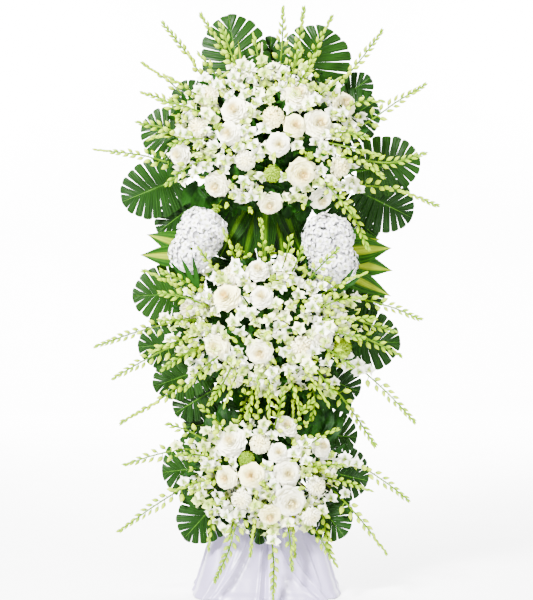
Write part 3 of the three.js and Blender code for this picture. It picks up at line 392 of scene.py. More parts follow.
def tube(points, radii, sides):
    """A closed tube through points, with one radius or one for each point."""
    points = np.array(points, float)
    count = len(points)
    radii = np.broadcast_to(np.array(radii, float), (count,))
    way = np.gradient(points, axis=0)
    way /= np.linalg.norm(way, axis=1, keepdims=True) + TINY
    side = np.cross(way, SEAM)
    side /= np.linalg.norm(side, axis=1, keepdims=True) + TINY
    other = np.cross(way, side)
    angle = np.linspace(0, 2 * math.pi, sides, endpoint=False)[None, :, None]
    ring = np.cos(angle) * side[:, None] + np.sin(angle) * other[:, None]
    rows = points[:, None] + ring * radii[:, None, None]
    along, round_it = np.linspace(0, 1, count)[:, None], np.arange(sides)[None] / sides
    p, quads, _, marks = grid_shape(rows, along, round_it, 0.5, closed=True)
    fan = np.array([(0, k, k + 1) for k in range(1, sides - 1)])
    return p, quads, np.concatenate([fan[:, ::-1], fan + (count - 1) * sides]), marks


def between(a, b, start, end, s):
    return (end - s) / (end - start) * a + (s - start) / (end - start) * b


def curve(points, count):
    """Evenly spaced points of a smooth line through the given ones, and its length."""
    p = [np.array(q, float) for q in points]
    p = [2 * p[0] - p[1]] + p + [2 * p[-1] - p[-2]]
    fine = []
    for i in range(1, len(p) - 2):
        q = p[i - 1 : i + 3]
        t = [0.0]
        for a, b in zip(q, q[1:]):
            t.append(t[-1] + max(np.linalg.norm(b - a), 1e-6) ** 0.5)
        for s in np.linspace(t[1], t[2], 24, endpoint=False):
            pairs = [between(q[k], q[k + 1], t[k], t[k + 1], s) for k in range(3)]
            ends = [between(pairs[k], pairs[k + 1], t[k], t[k + 2], s) for k in range(2)]
            fine.append(between(*ends, t[1], t[2], s))
    fine = np.array([*fine, p[-2]])
    long = np.concatenate([[0], np.cumsum(np.linalg.norm(np.diff(fine, axis=0), axis=1))])
    want = np.linspace(0, long[-1], count)
    return stacked(*(np.interp(want, long, fine[:, k]) for k in range(3))), long[-1]


# Petals and flowers, made once round +Z with a radius of 1 and then placed
def petal(length, width, tilt, curl, cup, columns=4, rows=4, point=0.0, wave=0.0, start=0.04):
    """A petal from the middle out along +X: tilt lifts it, curl bends its end back."""
    v, u = spans(rows, columns)
    outline = np.sin(np.pi * np.clip(0.12 + 0.83 * v**0.8, 0, 1)) ** (0.55 + point)
    outline /= outline.max()
    across = u * width * outline
    out = start + length * v * np.cos(tilt) - 0.12 * length * np.abs(u) ** 3 * v
    rise = length * np.sin(tilt) * v - curl * v**2 + cup * (across / width) ** 2
    rise = rise + wave * np.sin(3.1 * u + 2.3) * v**2
    return grid_shape(stacked(out, across, rise), v, (u + 1) / 2, 0.5)


def orchid_floret(seed):
    """Three narrow petals, two broad ones and a small cupped lip with a green throat."""
    r = np.random.default_rng(seed)
    shapes = []

    def add(shape, angle, lift, kind):
        shapes.append(with_kind(about_z(shape, math.radians(angle), lift), kind))

    for angle in (90, 214, 326):
        angle += r.uniform(-7, 7)
        tilt, curl = r.uniform(0.12, 0.45), r.uniform(0.1, 0.4)
        add(petal(1.02, 0.30, tilt, curl, 0.14, point=0.3), angle, -0.06, PETAL)
    for angle in (16, 164):
        angle += r.uniform(-7, 7)
        tilt, curl = r.uniform(0.1, 0.4), r.uniform(0.1, 0.35)
        add(petal(0.98, 0.46, tilt, curl, 0.18, point=0.1, wave=0.06), angle, 0.0, PETAL)
    add(petal(0.60, 0.30, 0.55, 0.42, 0.3, point=0.1), 270, 0.05, LIP)
    add(petal(0.3, 0.13, 1.1, 0.0, 0.12, columns=2, rows=2), 90, 0.03, LIP)
    return merged(shapes)


def rose_shape(seed):
    """Petals in turning layers round a closed heart; the open ones curl back at their rims."""
    r = np.random.default_rng(seed)
    v, u = spans(6, 6)
    rim = np.clip((v - 0.6) / 0.4, 0, 1)
    lip = rim**1.4
    shapes = []
    turn = r.uniform(0, 6)
    for layer, (count, reach, height, spread, roll) in enumerate(ROSE_LAYERS):
        turn += 0.9
        foot = min(height - 0.45, 0.12)
        for k in range(count):
            lean = r.uniform(-0.06, 0.06)
            bowl = reach * (1 + lean) * (1 - (1 - v) ** 2.4) ** 0.75
            rise = foot + (height - foot + 0.05 * r.uniform(-1, 1)) * v ** (1.0 + 0.45 * reach)
            half = spread * (1 - 0.7 * rim**3) * (0.6 + 0.4 * v)
            angle = turn + 2 * math.pi * k / count + lean + u * half
            radius = bowl + roll * lip * (1 + 0.5 * u**2) + 0.02 * u
            top = rise - roll * lip * (0.8 + 0.5 * np.abs(u))
            top = top + 0.03 * np.sin(4 * u + 5 * turn + k) * lip
            points = stacked(radius * np.cos(angle), radius * np.sin(angle), top)
            shapes.append(grid_shape(points, v, layer / (len(ROSE_LAYERS) - 1), 0.5))
    return merged(shapes)


def mum_shape(seed):
    """A round head of many small cupped petals, smaller towards its middle."""
    r = np.random.default_rng(seed)
    shapes = []
    count = 84
    for k in range(count):
        share = (k + 0.5) / count
        polar = math.acos(1 - 1.28 * share)
        angle = GOLDEN_ANGLE * k
        level = vec(math.cos(angle), math.sin(angle), 0)
        out = math.sin(polar) * level + vec(0, 0, math.cos(polar))
        size = 0.26 + 0.30 * share
        one = petal(size, 0.55 * size, 0.5, 0.35 * size, 0.25, columns=2, rows=3, start=0.0)
        aim = unit(out + r.uniform(-0.15, 0.15, 3))
        side = unit(level + r.uniform(-0.3, 0.3, 3))
        turn = turned(aim, up=np.cross(aim, side))
        place = out * (0.80 - 0.10 * share) * vec(1, 1, 0.62) + vec(0, 0, 0.02)
        one = placed(one, turn, place - 0.35 * size * turn[:, 0])
        shapes.append(with_kind(one, 0.9 * (1 - share) ** 2))
    down, about = np.linspace(0, math.pi, 6)[:, None], np.linspace(0, 2 * math.pi, 11)[None]
    radius = 0.68 * np.sin(down)
    ball = stacked(radius * np.cos(about), radius * np.sin(about), 0.42 * np.cos(down) - 0.05)
    shapes.append(grid_shape(ball, 0.3, 0.3, 0.5))
    return merged(shapes)


def bud_shape(sides=6):
    """A pointed bud along +Z, one unit long, with a swollen middle and a bent end."""
    z = vec(0, 0.12, 0.34, 0.6, 0.82, 1)[:, None]
    radius = vec(0.06, 0.22, 0.32, 0.28, 0.14, 0.015)[:, None]
    angle = np.linspace(0, 2 * math.pi, sides, endpoint=False)
    points = stacked(0.10 * z**2 + radius * np.cos(angle), 0.9 * radius * np.sin(angle), z)
    return grid_shape(points, z, np.arange(sides) / sides, 0.0, closed=True)


def small_leaf(width=0.17):
    """A pointed leaflet along +X, one unit long."""
    v, u = spans(4, 2)
    half = width * np.sin(np.pi * np.clip(0.06 + 0.94 * v, 0, 1)) ** 0.8
    lift = 0.10 * np.abs(u) * half / width + 0.16 * v * (1 - v) - 0.1 * v**3
    return grid_shape(stacked(v, u * half, lift), v, (u + 1) / 2, 0.5)


FLORETS = [orchid_floret(seed) for seed in range(6)]
ROSE_SHAPES = [rose_shape(seed) for seed in range(5)]
MUM_SHAPES = [mum_shape(seed) for seed in range(3)]
BUD = bud_shape()
LEAFLET = small_leaf()
BROAD_LEAFLET = placed(LEAFLET, np.diag([1, 1.5, 1.0]), vec(0, 0, 0))


# Materials
class Paint:
    """A material whose colour is laid on in layers."""

    def __init__(self, name, roughness, **numbers):
        self.material = bpy.data.materials.new(name)
        self.material.use_nodes = True
        self.tree = self.material.node_tree
        self.shader = self.tree.nodes["Principled BSDF"]
        for key, value in {"Roughness": roughness, **numbers}.items():
            self.shader.inputs[key.replace("_", " ")].default_value = value

    def node(self, kind, inputs=(), **settings):
        """A new node with numbers, colours or other nodes' outputs on its inputs."""
        node = self.tree.nodes.new("ShaderNode" + kind)
        for key, value in settings.items():
            setattr(node, key, value)
        for key, value in dict(inputs).items():
            socket = node.inputs[key]
            if isinstance(value, bpy.types.NodeSocket):
                self.tree.links.new(value, socket)
            elif socket.type == "RGBA":
                socket.default_value = (*value, 1.0)
            else:
                socket.default_value = value
        return node

    def maths(self, kind, *values):
        return self.node("Math", enumerate(values), operation=kind).outputs[0]

    def smooth(self, *values):
        """A value eased between a low and a high one, and mapped to a start and an end."""
        kind = "SMOOTHSTEP"
        return self.node("MapRange", enumerate(values), interpolation_type=kind).outputs[0]

    def waves(self, value, count):
        return self.maths("SINE", self.maths("MULTIPLY", value, count))

    def off_middle(self, across):
        return self.maths("ABSOLUTE", self.maths("SUBTRACT", across, 0.5))

    def noise(self, scale, detail=3.0, stretch=None, place=None):
        if place is None:
            place = self.node("TexCoord").outputs["Object"]
        if stretch:
            place = self.node("Mapping", {"Vector": place, "Scale": stretch}).outputs[0]
        inputs = {"Vector": place, "Scale": scale, "Detail": detail}
        return self.node("TexNoise", inputs).outputs["Fac"]

    def marks(self):
        mark = self.node("Attribute", attribute_name="mark").outputs["Vector"]
        return self.node("SeparateXYZ", {0: mark}).outputs[:3]

    def streaks(self, along, across, tone, fine, detail=2.0):
        """Noise drawn out along a blade, from its marks."""
        scaled = ((across, fine), (along, 1.3), (tone, 37.0))
        values = [self.maths("MULTIPLY", *pair) for pair in scaled]
        place = self.node("CombineXYZ", enumerate(values)).outputs[0]
        return self.noise(1.0, detail, place=place)

    def mixed(self, a, b, *ease):
        """A colour between two, by a share or by a value and the bounds that it eases between."""
        share = ease[0] if len(ease) == 1 else self.smooth(*ease)
        inputs = {0: share, 6: a, 7: b}
        return self.node("Mix", inputs, data_type="RGBA", clamp_factor=True).outputs[2]

    def layer(self, colour, *ease):
        self.colour = self.mixed(self.colour, colour, *ease)

    def finished(self, height=None, strength=0.0, distance=0.0):
        self.tree.links.new(self.colour, self.shader.inputs["Base Color"])
        if height is not None:
            inputs = {"Height": height, "Strength": strength, "Distance": distance}
            relief = self.node("Bump", inputs).outputs[0]
            self.tree.links.new(relief, self.shader.inputs["Normal"])
        return self.material


def leaf_material():
    paint = Paint("split_leaf", 0.3, Specular_IOR_Level=0.05)
    out, across, tone = paint.marks()
    lines = paint.streaks(out, across, tone, 9.0)
    dark, light = (0.0006, 0.00459, 0.0001), (0.00407, 0.0215, 0.0003)
    paint.colour = paint.mixed(dark, light, lines, 0.35, 0.65)
    paint.layer((0.00888, 0.037, 0.0004), paint.noise(9.0), 0.5, 0.75, 0.0, 0.7)
    # Painted shade: a low tone, set mostly by the leaf's level, paints the leaf darker and a high one
    # lighter; the rest is a random tone
    paint.layer((0.0126, 0.0444, 0.0006), tone, 0.4, 1.0, 0.0, 0.45)
    paint.layer((0.0007, 0.00555, 0.0001), tone, 0.0, 0.5, 0.75, 0.0)
    vein = paint.smooth(paint.off_middle(across), 0.0, 0.07, 1.0, 0.0)
    pleats = paint.waves(across, 18.85)
    paint.layer((0.0192, 0.0703, 0.00518), paint.maths("MULTIPLY", vein, 0.6))
    # Painted shade: darker stripes that follow the pleats, beside their relief
    paint.layer((0.0006, 0.00518, 0.0001), pleats, 0.0, 1.0, 0.0, 0.6)
    paint.layer((0.0259, 0.0814, 0.00592), out, 0.0, 0.09, 0.6, 0.0)
    paint.layer((0.0133, 0.0459, 0.00148), out, 0.93, 1.0, 0.0, 0.4)
    back = paint.node("NewGeometry").outputs["Backfacing"]
    paint.layer((0.0104, 0.037, 0.00592), paint.maths("MULTIPLY", back, 0.45))
    height = paint.maths("ADD", paint.maths("MULTIPLY", pleats, 0.4), paint.maths("ADD", vein, lines))
    return paint.finished(height, 0.8, 0.0020)


def green_material(name, dark, light, roughness, scale):
    paint = Paint(name, roughness, Specular_IOR_Level=0.04)
    _, across, tone = paint.marks()
    paint.colour = paint.mixed(dark, light, paint.noise(scale), 0.3, 0.7)
    paint.layer(light, tone, 0.2, 1.0, 0.0, 0.5)
    return paint.finished(paint.waves(across, 30.0), 0.25, 0.0008)


def strap_material(name, dark, light, core, pale, inner, outer):
    """A blade with lines along it and a pale stripe up its middle."""
    paint = Paint(name, 0.34, Specular_IOR_Level=0.04)
    along, across, tone = paint.marks()
    lines = paint.streaks(along, across, tone, 16.0, 3.0)
    ragged = paint.maths("MULTIPLY", paint.maths("SUBTRACT", lines, 0.5), 0.22)
    off = paint.maths("ADD", paint.off_middle(across), ragged)
    paint.colour = paint.mixed(dark, light, lines, 0.35, 0.65)
    paint.layer(paint.mixed(core, pale, lines, 0.35, 0.7), off, inner, outer, 1.0, 0.0)
    return paint.finished(paint.maths("ADD", paint.waves(across, 70.0), lines), 0.3, 0.0009)


def petal_material():
    paint = Paint("orchid_petal", 0.5, Sheen_Weight=0.1)
    out, kind, tone = paint.marks()
    grain = paint.noise(240.0)
    paint.colour = paint.mixed((0.96, 0.96, 0.82), (0.95, 0.95, 0.45), tone, 0.2, 1.0)
    paint.layer((0.40, 0.56, 0.02), tone, 0.7, 0.95, 0.0, 0.85)
    paint.layer((0.80, 0.85, 0.70), grain, 0.4, 0.8, 0.0, 0.2)
    # Greener towards each petal's base: partly the flower's own green throat, partly painted shade in
    # the middle of the flower
    paint.layer((0.20, 0.33, 0.004), out, 0.06, 0.40, 0.9, 0.0)
    paint.layer(paint.mixed((0.14, 0.25, 0.002), (0.60, 0.66, 0.12), out, 0.15, 0.85), kind)
    return paint.finished(grain, 0.15, 0.0008)


def rose_material():
    paint = Paint("rose_petal", 0.55, Sheen_Weight=0.15)
    out, depth, tone = paint.marks()
    grain = paint.noise(160.0)
    paint.colour = paint.mixed((0.97, 0.95, 0.76), (0.97, 0.92, 0.48), tone, 0.3, 1.0)
    warm = paint.mixed((0.95, 0.78, 0.08), (0.95, 0.62, 0.05), tone, 0.3, 0.9)
    paint.layer(warm, depth, 0.4, 1.0, 0.0, 0.5)
    paint.layer((0.80, 0.76, 0.20), out, 0.05, 0.55, 0.35, 0.0)
    paint.layer((0.92, 0.89, 0.66), grain, 0.45, 0.85, 0.0, 0.15)
    return paint.finished(grain, 0.12, 0.001)


def bud_material():
    paint = Paint("orchid_bud", 0.4, Specular_IOR_Level=0.06)
    along, _, tone = paint.marks()
    grain = paint.noise(120.0)
    paint.colour = paint.mixed((0.18, 0.29, 0.0003), (0.42, 0.53, 0.0008), along, 0.0, 0.9)
    paint.layer(paint.mixed((0.036, 0.13, 0.0003), (0.17, 0.29, 0.0003), along, 0.0, 0.9), tone)
    paint.layer((0.20, 0.29, 0.0004), grain, 0.4, 0.8, 0.0, 0.3)
    return paint.finished(grain, 0.15, 0.0008)


def hydrangea_material():
    paint = Paint("hydrangea_petal", 0.6, Sheen_Weight=0.1)
    out, side, tone = paint.marks()
    # Tone 1 is painted shade on the under layer's florets; lower tones are each floret's random tone
    paint.colour = paint.mixed((0.96, 0.95, 0.98), (0.56, 0.56, 0.58), tone)
    paint.layer((0.74, 0.70, 0.92), out, 0.6, 1.0, 0.0, 0.25)
    paint.layer((0.44, 0.48, 0.22), out, 0.0, 0.34, 0.9, 0.0)
    return paint.finished(paint.waves(side, 26.0), 0.2, 0.0006)


def satin_material():
    shine = {"Sheen_Weight": 0.4, "Sheen_Roughness": 0.3, "Specular_IOR_Level": 0.55}
    paint = Paint("satin", 0.34, **shine)
    weave = paint.noise(420.0, 2.0, (1.0, 1.0, 0.25))
    cloud = paint.noise(5.0, 2.0)
    paint.colour = paint.mixed((0.30, 0.265, 0.42), (0.38, 0.335, 0.52), cloud, 0.3, 0.7)
    paint.layer((0.25, 0.22, 0.36), weave, 0.4, 0.7, 0.0, 0.25)
    return paint.finished(weave, 0.1, 0.0004)


def wood_material():
    paint = Paint("planed_wood", 0.6, Specular_IOR_Level=0.2)
    grain = paint.noise(22.0, 6.0, (8.0, 8.0, 0.7))
    paint.colour = paint.mixed((0.16, 0.085, 0.028), (0.30, 0.18, 0.07), grain, 0.35, 0.65)
    paint.layer((0.10, 0.045, 0.014), paint.noise(5.0, 2.0), 0.6, 0.75, 0.0, 0.5)
    return paint.finished(grain, 0.3, 0.001)


def bamboo_material():
    paint = Paint("bamboo", 0.5, Specular_IOR_Level=0.2)
    fibre = paint.noise(60.0, 4.0, (6.0, 6.0, 0.3))
    paint.colour = paint.mixed((0.62, 0.56, 0.30), (0.78, 0.74, 0.48), fibre, 0.35, 0.65)
    return paint.finished(fibre, 0.2, 0.0006)


def foam_material():
    paint = Paint("wet_foam", 0.9, Specular_IOR_Level=0.05)
    pores = paint.noise(260.0, 4.0)
    dark, light = (0.004, 0.022, 0.006), (0.008, 0.036, 0.009)
    paint.colour = paint.mixed(dark, light, paint.noise(12.0), 0.3, 0.7)
    paint.layer((0.002, 0.010, 0.003), pores, 0.45, 0.6, 0.0, 0.6)
    return paint.finished(pores, 0.6, 0.002)


def floor_material():
    paint = Paint("pale_floor", 0.65)
    paint.colour = paint.mixed((0.90, 0.90, 0.90), (0.92, 0.92, 0.92), paint.noise(3.0), 0.3, 0.7)
    return paint.finished()


MATERIALS = {
    "leaf": leaf_material(),
    "rib": green_material("leaf_rib", (0.018, 0.075, 0.004), (0.05, 0.14, 0.008), 0.4, 40.0),
    "strap": strap_material(
        "strap_leaf", (0.004, 0.026, 0.001), (0.016, 0.062, 0.002),
        (0.12, 0.17, 0.0003), (0.20, 0.25, 0.0003), 0.10, 0.20,
    ),
    "streaked": strap_material(
        "streaked_leaf", (0.0012, 0.008, 0.0003), (0.005, 0.026, 0.0005),
        (0.014, 0.050, 0.0006), (0.055, 0.12, 0.0006), 0.02, 0.16,
    ),
    "dark": green_material("dark_leaf", (0.0015, 0.010, 0.0008), (0.006, 0.034, 0.002), 0.45, 25.0),
    "stem": green_material("green_stem", (0.036, 0.10, 0.0004), (0.10, 0.18, 0.0004), 0.5, 50.0),
    "petal": petal_material(),
    "rose": rose_material(),
    "bud": bud_material(),
    "hydrangea": hydrangea_material(),
    "satin": satin_material(),
    "wood": wood_material(),
    "bamboo": bamboo_material(),
    "foam": foam_material(),
    "floor": floor_material(),
}


# Pieces
def mesh_object(name, groups, setback=SETBACK):
    """One mesh object in metres from {material name: [shapes in millimetres]}."""
    joined = {key: merged(shapes) for key, shapes in groups.items() if shapes}
    points = (np.concatenate([s[0] for s in joined.values()]) + vec(0, setback, 0)) * MM
    marks = np.concatenate([s[3] for s in joined.values()])
    loops, sides, slots = [], [], []
    count = 0
    for number, (p, quads, triangles, _) in enumerate(joined.values()):
        for faces in (quads, triangles):
            loops.append((faces + count).reshape(-1))
            sides.append(np.full(len(faces), faces.shape[1]))
            slots.append(np.full(len(faces), number))
        count += len(p)
    loops, sides, slots = (np.concatenate(x).astype(np.int32) for x in (loops, sides, slots))
    mesh = bpy.data.meshes.new(name)
    mesh.vertices.add(len(points))
    mesh.vertices.foreach_set("co", points.astype(np.float32).reshape(-1))
    mesh.loops.add(len(loops))
    mesh.loops.foreach_set("vertex_index", loops)
    mesh.polygons.add(len(sides))
    mesh.polygons.foreach_set("loop_start", (np.cumsum(sides) - sides).astype(np.int32))
    mesh.polygons.foreach_set("material_index", slots)
    mesh.polygons.foreach_set("use_smooth", np.ones(len(sides), bool))
    mesh.update(calc_edges=True)
    mark = mesh.attributes.new("mark", "FLOAT_VECTOR", "POINT")
    mark.data.foreach_set("vector", marks.astype(np.float32).reshape(-1))
    for key in joined:
        mesh.materials.append(MATERIALS[key])
    obj = bpy.data.objects.new(name, mesh)
    bpy.context.scene.collection.objects.link(obj)
    return obj


def piece(name, groups, slot, *nodes):
    """A mesh object that rides on the part and takes the place of some of its nodes."""
    obj = mesh_object(name, groups)
    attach(obj, "root")
    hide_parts(*nodes)
    return obj


def pieces(node, slot, parts, names):
    for name, kinds in names.items():
        piece(f"{node}.{name}", {kind: parts[kind] for kind in kinds}, slot, node)


# Leaves
def leaf_axes(base, tip):
    """Along a leaf, out of its face and across it."""
    along = unit(tip - base)
    normal = to_front(along)
    return along, normal, np.cross(along, normal)


def on_leaf(base, axes, w, s, lift):
    """Points w across a leaf, s along it and lift above it."""
    along, normal, across = axes
    w, s, lift = (value[..., None] for value in np.broadcast_arrays(w, s, lift))
    return base + w * across + s * along + lift * normal


def leaf_root(block, x, z, level):
    """Where the petiole of a leaf ends in its block of foam."""
    height, half_x, half_z = FOAMS[block]
    if level == DRAPED:
        return vec(x * 0.75, FOAM_FRONT + 18, height - 40)
    reach = max(abs(x) / half_x, abs(z - height) / half_z, 1e-6)
    edge = vec(x / reach, 0, (z - height) / reach)
    return edge - unit(edge) * ROOT_DEPTH + vec(0, FOAM_BACK - 14 - 12 * level, height)


def split_blade(base, tip, half, level):
    """One split leaf's lobes, with slits between them, and its rib."""
    axes = leaf_axes(base, tip)
    length = np.linalg.norm(tip - base)
    lobes = 9 if half > 80 else 8 if half > 55 else 6
    # The level's painted shade, with a random tone on top
    tone = LEAF_SHADE_TONE[level] + rng.uniform(-0.15, 0.15)
    v, t = spans(8, 6, 0.0)
    slit = np.clip((v - SLIT_START) / (1 - SLIT_START), 0, 1) ** 0.8
    pleats = np.where(np.arange(t.shape[1]) % 2, 1.0, -1.0)[None]
    shapes = []
    for side in (1, -1):
        for i in range(lobes):
            share, middle = (i + t) / lobes, (i + 0.5) / lobes
            edge = middle + (share - middle) * (1 - 0.12 * slit)
            if i == lobes - 1:
                edge = np.where(share > middle, share, edge)
            angle = FIRST_LOBE * (1 - edge)
            end = (1 - 0.05 * np.abs(2 * t - 1) ** 4) * (1 + rng.uniform(-0.03, 0.025))
            w = half * np.sin(angle) * v * end
            outer = length * (WIDEST + (1 - WIDEST) * np.cos(angle))
            rib = length * (RIB * share + (1 - RIB) * np.clip(share * lobes - (lobes - 1), 0, 1))
            s = rib + (outer - rib) * v * end
            lift = ARCH * np.sin(np.pi * s / length) - DROOP * (w / half) ** 2
            lift = lift + 2.6 * np.sin(np.pi * v) ** 0.7 * (1 - np.abs(2 * t - 1))
            lift = lift + rng.uniform(-9, 4) * v**2 + rng.uniform(-6, 6) * (t - 0.5) * v
            lift = lift + 1.3 * pleats * np.sin(np.pi * np.clip(v, 0, 0.9))
            points = on_leaf(base, axes, side * w, s, lift)[:, ::side]
            shapes.append(grid_shape(points, v, t, tone + rng.uniform(-0.1, 0.1)))
    s = np.linspace(0, length * 0.985, 9)
    line = on_leaf(base, axes, 0.0, s, ARCH * np.sin(np.pi * s / length) + 0.5)
    return shapes, tube(line, np.linspace(2.1, 0.5, 9), 5)


def split_leaf(name, block, rows):
    """A split leaf on its petiole, and the leaves that fork from the same root."""
    shapes, ribs = [], []
    x, z, *_, level = rows[0]
    root = leaf_root(block, x, z, level)
    for x, z, tip_x, tip_z, half, level in rows:
        base = vec(x, LEAF_LEVEL[level], z)
        tip = vec(tip_x, LEAF_LEVEL[level] + LEAF_LEAN[level], tip_z)
        along, normal, _ = leaf_axes(base, tip)
        lobes, rib = split_blade(base, tip, half, level)
        shapes += lobes
        stalk, _ = curve([root, base, base + 14 * along + normal], 8)
        ribs += [rib, tube(stalk, np.linspace(2.7, 2.0, 8), 6)]
    piece(f"split_{name}", {"leaf": shapes, "rib": ribs}, "split_leaf", name)


def blade(base, tip, half, arch, rows=16, columns=6, wave=1.5):
    """A long leaf without slits, arched and slightly wavy."""
    v, u = spans(rows, columns)
    width = half * (0.15 + 0.85 * np.sin(np.pi * v) ** 0.9) * np.clip(1 - v**6, 0, 1) ** 0.8
    width = np.maximum(width, 0.15)
    lift = arch * np.sin(np.pi * v) + 0.10 * np.abs(u) * width
    lift = lift + wave * np.sin(7 * v + rng.uniform(0, 6)) * u**2 * np.sin(np.pi * v)
    along = v * np.linalg.norm(tip - base)
    points = on_leaf(base, leaf_axes(base, tip), u * width, along, lift)
    return grid_shape(points, v, (u + 1) / 2, rng.uniform(0, 1))


def waist_leaves(side):
    """Strap leaves on a cane, and palm blades that fan out over the hydrangeas."""

    def at(x, y, z):
        return vec(SIGNS[side] * x, y, z)

    fork = at(112, -28, 900)
    cane, _ = curve([at(70, -22, WAIST_ROOT), fork, at(166, -24, 965), at(174, -22, 1078)], 14)
    fan, _ = curve([fork, at(186, -72, 916), at(200, -190, 916)], 10)
    straps = []
    for i, (start, x, z, half) in enumerate(STRAPS[side]):
        base, tip = at(171, -21 - 4 * (i % 2), start), vec(x, -10 - 12 * (i % 2), z)
        straps.append(blade(base, tip, half, 6, wave=2.5))
    palms = [blade(fan[-1], vec(x, -196, z), half, 4, 10, 4) for x, z, half in PALM[side]]
    groups = {"strap": straps, "dark": palms, "stem": [tube(cane, 4, 8), tube(fan, 2.6, 6)]}
    piece(f"straps_{side}", groups, "strap_leaf", f"waist_leaves_{side}")


def centre_straps():
    root = vec(0, -34, FOAMS["top"][0] - FOAMS["top"][2] + ROOT_DEPTH)
    leaves = [blade(vec(*start), vec(*tip), half, 6) for start, tip, half in HANGING_STRAPS]
    groups = {"streaked": leaves, "stem": [tube([root, vec(0, -34, 1306)], 4, 8)]}
    piece("straps_centre", groups, "split_leaf", "waist_leaves_centre")


def top_strap():
    root = vec(-50, -24, FOAMS["top"][0] + FOAMS["top"][2] - ROOT_DEPTH)
    base = vec(-61, -10, 1484)
    leaf = blade(base + 0.1 * (root - base), vec(-88, -14, 1708), 15, 5)
    groups = {"strap": [leaf], "stem": [tube([root, base], 3, 8)]}
    piece("strap_top", groups, "strap_leaf", "top_strap")


# Orchid sprays
def bud(aim, place, size, tone, spin=0.0):
    return placed(BUD, turned(aim, spin), place, size, tone)


def orchid_flower(face, place, smallest, largest, spin):
    """One of the orchid flowers by chance, of a chance size, turn and tone."""
    flower = FLORETS[rng.integers(len(FLORETS))]
    size = rng.uniform(smallest, largest)
    turn = turned(face, rng.uniform(-spin, spin))
    return placed(flower, turn, place, size, rng.uniform(0, 1))


def side_flower(here, way, out, share, parts):
    """An open flower on a stalk beside the stem, some of them with a bud."""
    tip = here + out * rng.uniform(14, 27) + way * 5
    stalk = [here, here + 0.6 * (tip - here) + 2 * way, tip]
    parts["stem"].append(tube(stalk, [1.2, 1.0, 1.0], 4))
    face = unit(0.8 * out + 0.8 * FRONT + rng.uniform(-0.5, 0.5, 3))
    parts["petal"].append(orchid_flower(face, tip, 22 - 5 * share, 28 - 5 * share, 0.5))
    if rng.uniform() < 0.35:
        aim = unit(way + 0.9 * rng.uniform(-1, 1, 3))
        size, tone = rng.uniform(17, 23), rng.uniform(0.1, 0.6)
        parts["bud"].append(bud(aim, here + 4 * aim, size, tone, 1.0))


def side_bud(here, way, out, late, parts):
    """A closed bud beside the stem, smaller, slimmer and closer to it towards the tip."""
    size = 27 - 9 * late + rng.uniform(-1.5, 1.5)
    grip = here + out * (14 * (1 - late) ** 2 + 2) + way * (4 - 2 * late)
    parts["stem"].append(tube([here, grip], [1.4, 1.2], 4))
    aim = unit(out * (0.7 - 0.4 * late) + way * (0.5 + 0.7 * late))
    tone = min(1, max(0, 0.15 + late * 0.7 + rng.uniform(-0.15, 0.15)))
    slim = 1 - 0.35 * late
    turn = turned(aim, rng.uniform(0, 6)) @ np.diag([slim, slim, 1.0])
    parts["bud"].append(placed(BUD, turn, grip, size, tone))


def along_spray(line, long, opened, parts):
    """Open flowers on the first part of a stem, then buds that dwindle to its tip."""
    parts["stem"].append(tube(line, np.linspace(3.2, 2.4, len(line)), 5))
    shares = np.linspace(0, 1, len(line))

    def point_at(share):
        return np.array([np.interp(share, shares, line[:, k]) for k in range(3)])

    at = min(0.16 * long, 55)
    turn = rng.uniform(0, 6)
    while at < long * 0.985:
        share = at / long
        here = point_at(share)
        way = unit(line[-1] - line[-2])
        if share < 0.98:
            way = unit(point_at(min(share + 0.02, 1)) - here)
        front = to_front(way)
        turn += math.pi + rng.uniform(-0.5, 0.5)
        forward = 0.55 * abs(math.sin(turn)) + 0.25
        out = unit(math.cos(turn) * np.cross(way, front) + forward * front)
        if share < opened:
            side_flower(here, way, out, share, parts)
            at += rng.uniform(17, 23)
        else:
            late = (share - opened) / (1 - opened)
            side_bud(here, way, out, late, parts)
            at += 15 - 7.5 * late + rng.uniform(-1.5, 1.5)
    parts["bud"].append(bud(way, line[-1] - 3 * way, 14, 0.9))


def orchid_group(name):
    """The sprays that grow from one peg."""
    foot, entry, routes = SPRAYS[name]
    foot, entry = vec(*foot), vec(*entry)
    parts = {"stem": [tube([foot, entry], 5, 6)], "bud": [], "petal": []}
    for route in routes:
        line, long = curve([entry + 0.12 * (foot - entry), *route], 36)
        line = np.concatenate([line, [line[-1] + SPRAY_TIP * unit(line[-1] - line[-2])]])
        along_spray(line, long + SPRAY_TIP, rng.uniform(0.42, 0.56), parts)
    pieces(name, "orchid_spray", parts, {"stems": ("stem", "bud"), "florets": ("petal",)})


# Bunches of roses and orchid flowers
def near(x, z, places, gap):
    return any((x - a) ** 2 + (z - b) ** 2 < (r + gap) ** 2 for a, b, r in places)


def stem_to(start, end, thick=1.9):
    middle = 0.5 * (start + end) + rng.uniform(-4, 4, 3)
    return tube(curve([start, middle, end], 5)[0], thick, 5)


def bud_spike(at, out, parts):
    """An upright head of small green buds."""
    foot = at - 21 * out
    parts["stem"].append(tube([foot, foot + 40 * out], [1.6, 0.8], 5))
    turn = turned(out)
    count = 22
    for k in range(count):
        share = k / (count - 1)
        angle = 2.4 * k
        side = turn[:, 0] * math.cos(angle) + turn[:, 1] * math.sin(angle)
        aim = unit(side * (1 - 0.6 * share) + out * (0.45 + share))
        place = foot + out * (3 + 33 * share) + side * 2
        parts["bud"].append(bud(aim, place, 17 - 7 * share, rng.uniform(0.55, 1.0)))


